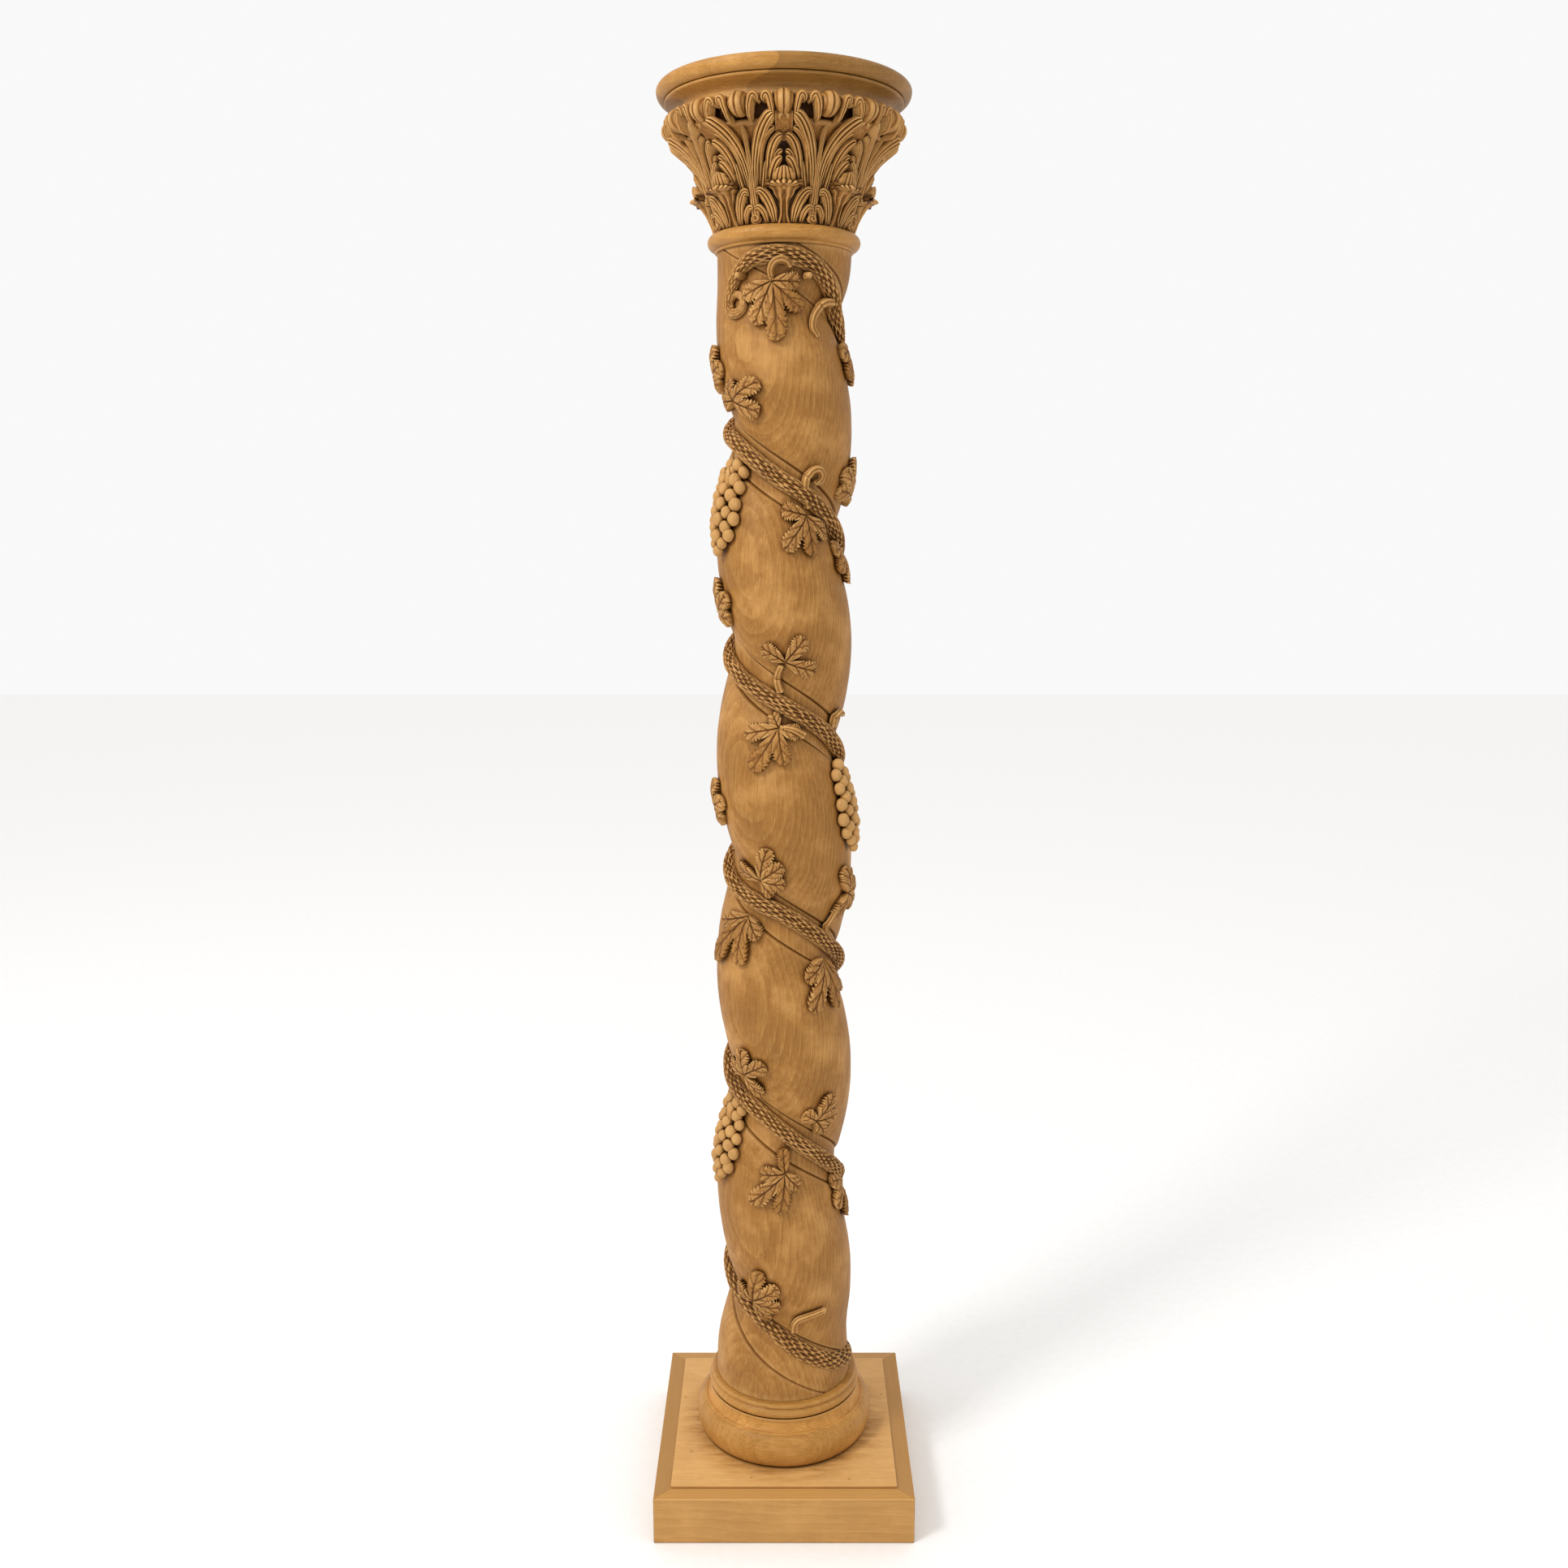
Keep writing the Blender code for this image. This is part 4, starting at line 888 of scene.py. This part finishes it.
def addBall(bm, centre, radii, degrees, seed=0.0, rough=0.03):
    made = bmesh.ops.create_icosphere(bm, subdivisions=3, radius=1.0)["verts"]
    for vert in made:
        vert.co *= 1.0 + rough * noise.noise(vert.co * 1.8 + Vector((seed, 0.0, seed)))
    bmesh.ops.scale(bm, vec=radii, verts=made)
    bmesh.ops.rotate(bm, verts=made, matrix=Matrix.Rotation(math.radians(degrees), 3, "Z"))
    bmesh.ops.translate(bm, verts=made, vec=centre)
    return made


def makeGrapes(look):
    whole, _ = newCarving()
    wide, deep, tall = look["berry"]
    for index, (degrees, share, rows) in enumerate(bunches):
        bm, _ = newCarving()
        top = heightAt(share)
        half = look["rowStep"] * rows / 2.0
        addBall(bm, onShaft(degrees, top - half, 0.0), (look["core"][0], look["core"][1], half * 0.86), degrees)
        for row in range(rows):
            along = (row + 0.5) / rows
            spread = 1.0 - 0.55 * smooth((along - 0.6) / 0.4)
            columns = (-1.0, 1.0) if row % 2 == 0 else (-1.72, 0.0, 1.72)
            if row in (rows - 1, rows - 2) or row == 0:
                columns = columns[:2] if row % 2 == 0 else (0.0,)
            for place, column in enumerate(columns):
                seed = index * 31.0 + row * 7.0 + place * 3.3
                shift = 0.0012 * math.sin(seed * 5.1)
                spot = degrees + degreesRound(column * spread * look["sideStep"] + shift, fullRadius(top) + 0.008)
                bulge = 0.006 + 0.0085 * (1.0 - (column / 1.9) ** 2) * math.sin(math.pi * mix(along, 0.5, 0.35))
                size = (1.0 + 0.06 * math.sin(seed * 2.3)) * (1.0 - 0.18 * smooth((along - 0.75) / 0.25))
                addBall(bm, onShaft(spot, top - look["rowStep"] * (row + 0.5) + shift, bulge),
                        (wide * size, deep * size, tall * size), spot, seed, 0.05)
        joinInto(whole, bm)
        bm.free()
    finishPiece(whole, "grapeBunches", ["shaft"], carvedTeak, 60.0)


makeGrapes(grapes)


# shaft: shoots

shoots = (
    ((50, 0.958, 0.01), (38, 0.956, 0.013), (28, 0.947, 0.01), (26, 0.937, 0.004), (32, 0.93, 0.0)),
    ((28, 0.795, 0.002), (23.5, 0.8035, 0.007), (21.5, 0.814, 0.01), (25.5, 0.8235, 0.012),
     (32.0, 0.8255, 0.013), (36.6, 0.8205, 0.012), (35.0, 0.815, 0.01), (31.5, 0.8165, 0.009)),
    ((-4, 0.642, 0.002), (-7, 0.654, 0.006), (-2, 0.667, 0.008)),
    ((20, 0.606, 0.01), (8, 0.612, 0.014), (-4, 0.6134, 0.01)),
    ((50, 0.422, 0.004), (49, 0.44, 0.008), (62, 0.462, 0.008)),
    ((62, 0.61, 0.004), (64, 0.622, 0.01), (76, 0.62, 0.008)),
    ((10, 0.064, 0.002), (13, 0.078, 0.008), (38, 0.084, 0.006)),
    ((5.5, 0.9835, 0.006), (2.0, 0.9865, 0.011), (-3.5, 0.987, 0.014), (-8.6, 0.984, 0.014), (-11.0, 0.978, 0.012),
     (-9.8, 0.9712, 0.008)),
)


# the two buds beside the topmost leaf: degrees round and height, a dark knot with a pale ball on it
buds = {"places": ((20, 2.064), (-37, 2.066)), "knot": (0.0068, 0.0112, 0.0068), "knotLift": 0.0065, "knotCut": 0.55,
        "ball": (0.0043, 0.004, 0.0043), "ballLift": 0.0172}


def addTube(bm, waxShadeInCuts, run, radii, columns, groove):
    rings = len(run)
    sheet = bmesh.ops.create_grid(bm, x_segments=columns, y_segments=rings - 1, size=1.0)["verts"]
    for vert in sheet:
        turned = (vert.co.x + 1.0) * math.pi
        ring = round((vert.co.y + 1.0) / 2.0 * (rings - 1))
        here = run[ring]
        out, side = squareTo(here, (run[min(ring + 1, rings - 1)] - run[max(ring - 1, 0)]).normalized())
        radius = 0.0 if ring in (0, rings - 1) else radii[ring]
        flute = max(math.cos(turned * 5.0), 0.0) * groove * 0.4
        reach = radius * (1.0 - flute)
        vert.co = here + (out * math.cos(turned) + side * math.sin(turned)) * reach
        # the flutes painted dark: brown wax and painted shade
        vert[waxShadeInCuts] = flute * 1.4
    bmesh.ops.remove_doubles(bm, verts=sheet, dist=1e-6)


def makeShoots():
    bm, waxShadeInCuts = newCarving()
    for run in shoots:
        path = [onShaft(spot.x, heightAt(spot.y), spot.z) for spot in easedRun(run, 8)]
        last = len(path) - 1
        radii = [vine["radius"] * mix(0.54, 0.32, place / last) for place in range(last + 1)]
        addTube(bm, waxShadeInCuts, path, radii, 30, 0.55)
    for degrees, height in buds["places"]:
        known = len(bm.verts)
        addBall(bm, onShaft(degrees, height, buds["knotLift"]), buds["knot"], degrees)
        bm.verts.ensure_lookup_table()
        # the knot painted dark: brown wax and painted shade
        for vert in bm.verts[known:]:
            vert[waxShadeInCuts] = buds["knotCut"]
        addBall(bm, onShaft(degrees, height, buds["ballLift"]), buds["ball"], degrees)
    finishPiece(bm, "sideShoots", ["shaft"], carvedTeak, 60.0)


makeShoots()


# capital

bell = {"foot": 0.104, "top": 0.167, "spread": 0.04, "flare": 0.098, "power": 5.2, "height": 0.171,
        "folds": 8, "rings": 66, "turnSteps": 160}
# painted shade on the ground between the carving: from and to which height, over how much of it the painted shade
# fades, and how dark
groundShade = {"between": (2.272, 2.304, 0.006, 0.003, 0.84), "eyes": (2.204, 2.254, 0.004, 0.003, 0.97),
          "slots": (2.205, 2.256, 0.006, 0.004, 0.85)}


def bellRadius(height):
    share = clamp((height - levels["capitalBottom"]) / bell["height"])
    return min(bell["foot"] + bell["spread"] * share + bell["flare"] * share ** bell["power"], bell["top"])


def onBell(degrees, height, lift):
    return placed(degrees, bellRadius(height) + lift, height)


def makeBell(look):
    # the ground behind the carving, cut deeper than the CAD's bell
    outline = [(0.0, levels["capitalTop"])]
    for index in range(look["rings"] + 1):
        height = levels["capitalTop"] - look["height"] * index / look["rings"]
        share = 1.0 - index / look["rings"]
        deeper = 0.0045 * smooth(share / 0.12) + 0.0135 * smooth((share - 0.76) / 0.08)
        outline.append((bellRadius(height) - deeper * smooth((2.3035 - height) / 0.004), height))
    outline += [(0.0, levels["capitalBottom"])]
    bm = turnedPiece(outline, look["turnSteps"])
    waxShadeInCuts = bm.verts.layers.float.new("waxShadeInCuts")
    # painted shade: the ground between the curls, in the eyes at each fold's middle and in the slots is painted dark
    for vert in bm.verts:
        degrees = math.degrees(math.atan2(vert.co.x, -vert.co.y)) % 45.0
        middle = min(degrees, 45.0 - degrees)
        shares = {"between": 1.0, "eyes": 1.0 - smooth((middle - 2.6) / 1.4),
                  "slots": 1.0 - smooth((abs(middle - 10.5) - 1.5) / 1.5)}
        vert[waxShadeInCuts] = max(shares[spot] * dark * smooth((vert.co.z - low) / fadeIn) * smooth((high - vert.co.z) / fadeOut)
                        for spot, (low, high, fadeIn, fadeOut, dark) in groundShade.items())
    finishPiece(bm, "capitalBell", ["capital"], carvedTeak, 40.0)


def repeatRound(part, count, name, uneven, lumps):
    # one fold's carving set round the bell and finished as one piece
    whole, _ = newCarving()
    for index in range(count):
        joinInto(whole, part, index * 360.0 / count)
    part.free()
    byHand(whole, uneven, lumps)
    finishPiece(whole, name, ["capital"], capitalTeak, 50.0)


def addBlade(bm, waxShadeInCuts, path, widths, across, along, relief, root, side=1.0, turn=0.0):
    # a carved strip on the bell: path of (degrees, height, lift), half widths in metres, its face shaped by relief,
    # which also gives how dark each point is painted: brown wax and painted shade
    run = easedRun([(degrees * side + turn, height, lift) for degrees, height, lift in path], 12)
    count = len(run) - 1
    places = [onBell(spot.x, spot.y, spot.z) for spot in run]
    sheet = bmesh.ops.create_grid(bm, x_segments=across, y_segments=along, size=1.0)["verts"]
    for vert in sheet:
        x, t = vert.co.x, (vert.co.y + 1.0) / 2.0
        place = t * count
        index = min(int(place), count - 1)
        here = places[index].lerp(places[index + 1], place - index)
        out, aside = squareTo(here, (places[min(index + 2, count)] - places[max(index - 1, 0)]).normalized())
        width = sampled(widths, t) * math.sqrt(max(1.0 - (clamp((t - 0.86) / 0.14) ** 2) * 0.96, 0.0))
        raised, line = relief(x, t)
        vert.co = here - aside * (side * x * width) + out * raised
        # the relief's grooves painted dark: brown wax and painted shade
        vert[waxShadeInCuts] = line

    def inwards(place, depth):
        return place - Vector((place.x, place.y, 0.0)).normalized() * depth

    rootSheet(bm, sheet, (lambda place: inwards(place, 0.003), lambda place: inwards(place, root)))


def ridged(ridges, depth, crown):
    # relief of a strip with so many rounded ridges side by side, with its grooves painted dark: brown wax and painted
    # shade
    def relief(x, t):
        wave = abs(math.cos((x + 1.0) / 2.0 * ridges * math.pi + (math.pi / 2.0)))
        ends = smooth(t / 0.08) * smooth((1.0 - t) / 0.05)
        groove = (1.0 - wave) ** 1.6
        inside = 1.0 - smooth((abs(x) - 0.86) / 0.12)
        return (crown * (1.0 - x * x) - depth * groove * inside) * (0.4 + 0.6 * ends), 0.88 * groove ** 1.4 * inside
    return relief


# blades of half a fold, mirrored about its middle: path of (degrees, height, lift), half widths, ridges
fold = {
    "outer": (((20.6, 2.15, 0.004), (20.2, 2.185, 0.006), (19.0, 2.215, 0.008), (16.0, 2.24, 0.01),
               (12.2, 2.2585, 0.012), (8.0, 2.2715, 0.013), (5.0, 2.2765, 0.012)),
              (0.0024, 0.0036, 0.0058, 0.0082, 0.0094, 0.0088, 0.0062), 3, 28),
    "loop": (((17.4, 2.19, 0.003), (15.8, 2.22, 0.007), (13.2, 2.243, 0.01), (8.8, 2.258, 0.011),
              (5.0, 2.262, 0.01)), (0.0026, 0.0046, 0.0058, 0.0058, 0.004), 2, 24),
    "tierA": (((10.6, 2.204, 0.004), (9.0, 2.226, 0.008), (6.2, 2.2425, 0.011), (3.2, 2.2505, 0.012),
               (0.9, 2.252, 0.011)), (0.0036, 0.006, 0.0066, 0.0056, 0.0034), 2, 24),
    "tierB": (((6.6, 2.213, 0.004), (5.2, 2.225, 0.008), (3.2, 2.232, 0.01), (0.9, 2.2335, 0.01)),
              (0.0034, 0.0048, 0.0046, 0.003), 2, 20),
    "tierC": (((9.2, 2.19, 0.006), (7.6, 2.206, 0.01), (4.6, 2.22, 0.013), (1.2, 2.2255, 0.013)),
              (0.0036, 0.0062, 0.0062, 0.0034), 2, 22),
    "root": (((15.4, 2.168, 0.003), (14.2, 2.186, 0.006), (12.8, 2.204, 0.007), (12.0, 2.222, 0.006)),
             (0.003, 0.0044, 0.0042, 0.0026), 2, 18),
}


def tongueRelief(x, t):
    # the stippled ground behind the frond tips, with a small half round ridge on it
    stipple = noise.noise(Vector((x * 11.0, t * 22.0, 4.0)))
    arch = math.exp(-((math.hypot(x, (t - 0.62) * 2.4) - 0.52) / 0.13) ** 2) * smooth((t - 0.6) / 0.04)
    return 0.0009 * stipple + 0.0017 * arch, 0.16 + 0.45 * clamp(-stipple * 2.0) - 0.16 * arch


# the middle of a fold, mirrored on itself: path, half widths, points across and along, relief, depth of its root
# and degrees from the middle. The cup at the foot, the stalk between two folds, and the plain tongue behind the
# frond tips, under the front curl
foldMiddle = {
    "cup": (((0.0, 2.184, 0.01), (0.0, 2.192, 0.0165), (0.0, 2.2, 0.019), (0.0, 2.207, 0.0185),
             (0.0, 2.212, 0.016)),
            (0.0165, 0.017, 0.0158, 0.0122, 0.007), 40, 20, ridged(5, 0.0024, 0.005), 0.026, 0.0),
    "stalk": (((0.0, 2.145, 0.004), (0.0, 2.18, 0.008), (0.0, 2.215, 0.009), (0.0, 2.245, 0.009),
               (0.0, 2.266, 0.008)),
              (0.0066, 0.0046, 0.0036, 0.003, 0.0026), 15, 24, ridged(3, 0.0016, 0.0012), 0.024,
              180.0 / bell["folds"]),
    "tongue": (((0.0, 2.248, 0.0), (0.0, 2.26, 0.003), (0.0, 2.272, 0.005), (0.0, 2.283, 0.005)),
               (0.011, 0.0125, 0.013, 0.013), 20, 20, tongueRelief, 0.018, 0.0),
}


def makeFronds(sides, middle):
    part, waxShadeInCuts = newCarving()
    for side in (1.0, -1.0):
        for path, widths, ridges, along in sides.values():
            addBlade(part, waxShadeInCuts, path, widths, ridges * 6, along, ridged(ridges, 0.0034, 0.0018), 0.022, side)
    for path, widths, across, along, relief, root, turn in middle.values():
        addBlade(part, waxShadeInCuts, path, widths, across, along, relief, root, 1.0, turn)
    repeatRound(part, bell["folds"], "capitalFronds", 0.0006, 0.012)


def spoonRelief(x, t):
    # the collar leaf: two straight ribs below, a scalloped lip with a knob above
    scallop = abs(math.cos(x * 3.5 * math.pi)) * smooth((t - 0.6) / 0.25)
    fromRib = abs(abs(x) - 0.78 * (1.0 - t))
    rib = math.exp(-(fromRib / 0.17) ** 2) * (1.0 - smooth((t - 0.66) / 0.2))
    beside = math.exp(-((fromRib - 0.34) / 0.12) ** 2) * (1.0 - smooth((t - 0.6) / 0.2))
    hatch = abs(math.sin((x + t * 5.0) * 9.0) * math.sin((x - t * 5.0) * 9.0)) ** 0.5
    between = (1.0 - smooth((abs(x) - 0.6 * (1.0 - t)) / 0.08)) * (1.0 - smooth((t - 0.32) / 0.1))
    knob = math.exp(-(x / 0.13) ** 2) * smooth((t - 0.8) / 0.12)
    flutes = (1.0 - scallop) ** 2 * smooth((t - 0.62) / 0.1)
    raised = 0.0032 * rib - 0.001 * beside + 0.0034 * scallop - 0.0085 * x * x * t * t + 0.0036 * knob \
        - 0.0012 * between * (1.0 - hatch)
    return raised, max(0.85 * flutes, 0.7 * beside, 0.9 * between * (1.0 - hatch))


# the collar: path, half widths, points across and along, relief and depth of the root of its leaf in the middle,
# of the half leaves and of the arches over the rosettes. Then the rosette's half sizes and height
collar = {
    "leaf": (((0.0, 2.1385, 0.003), (0.0, 2.152, 0.005), (0.0, 2.166, 0.008), (0.0, 2.178, 0.013),
              (0.0, 2.1865, 0.0185), (0.0, 2.1905, 0.0235), (0.0, 2.186, 0.0262)),
             (0.0092, 0.0062, 0.0074, 0.0155, 0.026, 0.0305, 0.03), 42, 30, spoonRelief, 0.02),
    "halfLeaf": (((7.4, 2.14, 0.003), (9.4, 2.159, 0.007), (13.0, 2.1745, 0.01), (16.6, 2.1815, 0.012),
                  (19.6, 2.18, 0.011)),
                 (0.0044, 0.0072, 0.008, 0.0062, 0.0034), 18, 24, ridged(3, 0.0028, 0.0014), 0.018),
    "arch": (((13.5, 2.1395, 0.003), (15.0, 2.152, 0.007), (18.6, 2.1605, 0.009), (22.0, 2.159, 0.009)),
             (0.003, 0.0044, 0.0044, 0.0024), 12, 16, ridged(2, 0.002, 0.001), 0.016),
    "rosette": (0.0088, 0.0085, 0.0084), "rosetteHeight": 2.145, "spiralDepth": 0.0011,
}


def makeCollar(look):
    part, waxShadeInCuts = newCarving()
    addBlade(part, waxShadeInCuts, *look["leaf"])
    for side in (1.0, -1.0):
        addBlade(part, waxShadeInCuts, *look["halfLeaf"], side)
        addBlade(part, waxShadeInCuts, *look["arch"], side)
    between = 180.0 / bell["folds"]
    wide, deep, tall = look["rosette"]
    rosette = bmesh.ops.create_uvsphere(part, u_segments=28, v_segments=18, radius=1.0)["verts"]
    for vert in rosette:
        x, y, z = vert.co
        spiral = math.cos(math.hypot(x, z) * 12.0 - math.atan2(z, x))
        # the spiral's grooves painted dark: brown wax and painted shade
        vert[waxShadeInCuts] = 0.85 * clamp(-spiral) if y < 0.1 else 0.0
        vert.co = (x * wide, y * deep - look["spiralDepth"] * spiral * smooth(-y * 3.0), z * tall)
    bmesh.ops.rotate(part, verts=rosette, matrix=Matrix.Rotation(math.radians(between), 3, "Z"))
    bmesh.ops.translate(part, verts=rosette, vec=onBell(between, look["rosetteHeight"], 0.001))
    repeatRound(part, bell["folds"], "capitalCollar", 0.0006, 0.012)


# the curled tips: a grooved ball between two horns, and the gouge's chips over it
curls = {
    "ball": (0.0162, 0.0215, 0.0178), "ballRadius": 0.1695, "ballHeight": 2.2935,
    "horn": (((5.4, 2.2705, 0.003), (5.7, 2.278, 0.0095), (6.1, 2.2865, 0.0145), (6.7, 2.294, 0.0165),
              (7.4, 2.2995, 0.017), (8.5, 2.301, 0.017), (9.5, 2.298, 0.015), (9.7, 2.293, 0.011)),
             (0.0024, 0.0038, 0.005, 0.0056, 0.006, 0.006, 0.005, 0.0036), 18, 32,
             ridged(2, 0.0022, 0.0034), 0.012),
    "chips": 7, "chip": 0.0042, "chipRadius": 0.1662, "chipHeight": 2.3055, "chipStep": 3.2,
}


def makeCurls(look):
    part, waxShadeInCuts = newCarving()
    wide, deep, tall = look["ball"]
    ball = bmesh.ops.create_uvsphere(part, u_segments=48, v_segments=24, radius=1.0)["verts"]
    for vert in ball:
        x, y, z = vert.co
        away = abs(x + 0.1 * z * z - 0.04)
        groove = math.exp(-(away / 0.065) ** 2) if y < 0.2 else 0.0
        flank = math.exp(-((abs(x) - 0.62) / 0.07) ** 2) if y < 0.2 else 0.0
        # the groove and flanks painted dark: brown wax and painted shade
        vert[waxShadeInCuts] = max(0.92 * groove, 0.55 * flank)
        swell = 1.0 + 0.04 * abs(math.sin(x * math.pi)) - 0.12 * groove - 0.05 * flank
        narrow = 1.0 - 0.14 * clamp(-z)
        vert.co = (x * wide * swell * narrow, y * deep * swell, z * tall)
    bmesh.ops.translate(part, verts=ball, vec=placed(0.0, look["ballRadius"], look["ballHeight"]))
    for side in (1.0, -1.0):
        addBlade(part, waxShadeInCuts, *look["horn"], side)
    for index in range(look["chips"]):
        chip = bmesh.ops.create_cube(part, size=look["chip"])["verts"]
        turned = Matrix.Rotation(1.3 * index, 3, "X") @ Matrix.Rotation(0.9 * index + 0.4, 3, "Y")
        bmesh.ops.rotate(part, verts=chip, matrix=turned)
        height = look["chipHeight"] + 0.0008 * math.sin(index * 2.1)
        bmesh.ops.translate(part, verts=chip, vec=placed((index - 3) * look["chipStep"], look["chipRadius"], height))
    repeatRound(part, 2 * bell["folds"], "capitalCurls", 0.0007, 0.014)


makeBell(bell)
makeFronds(fold, foldMiddle)
makeCollar(collar)
makeCurls(curls)
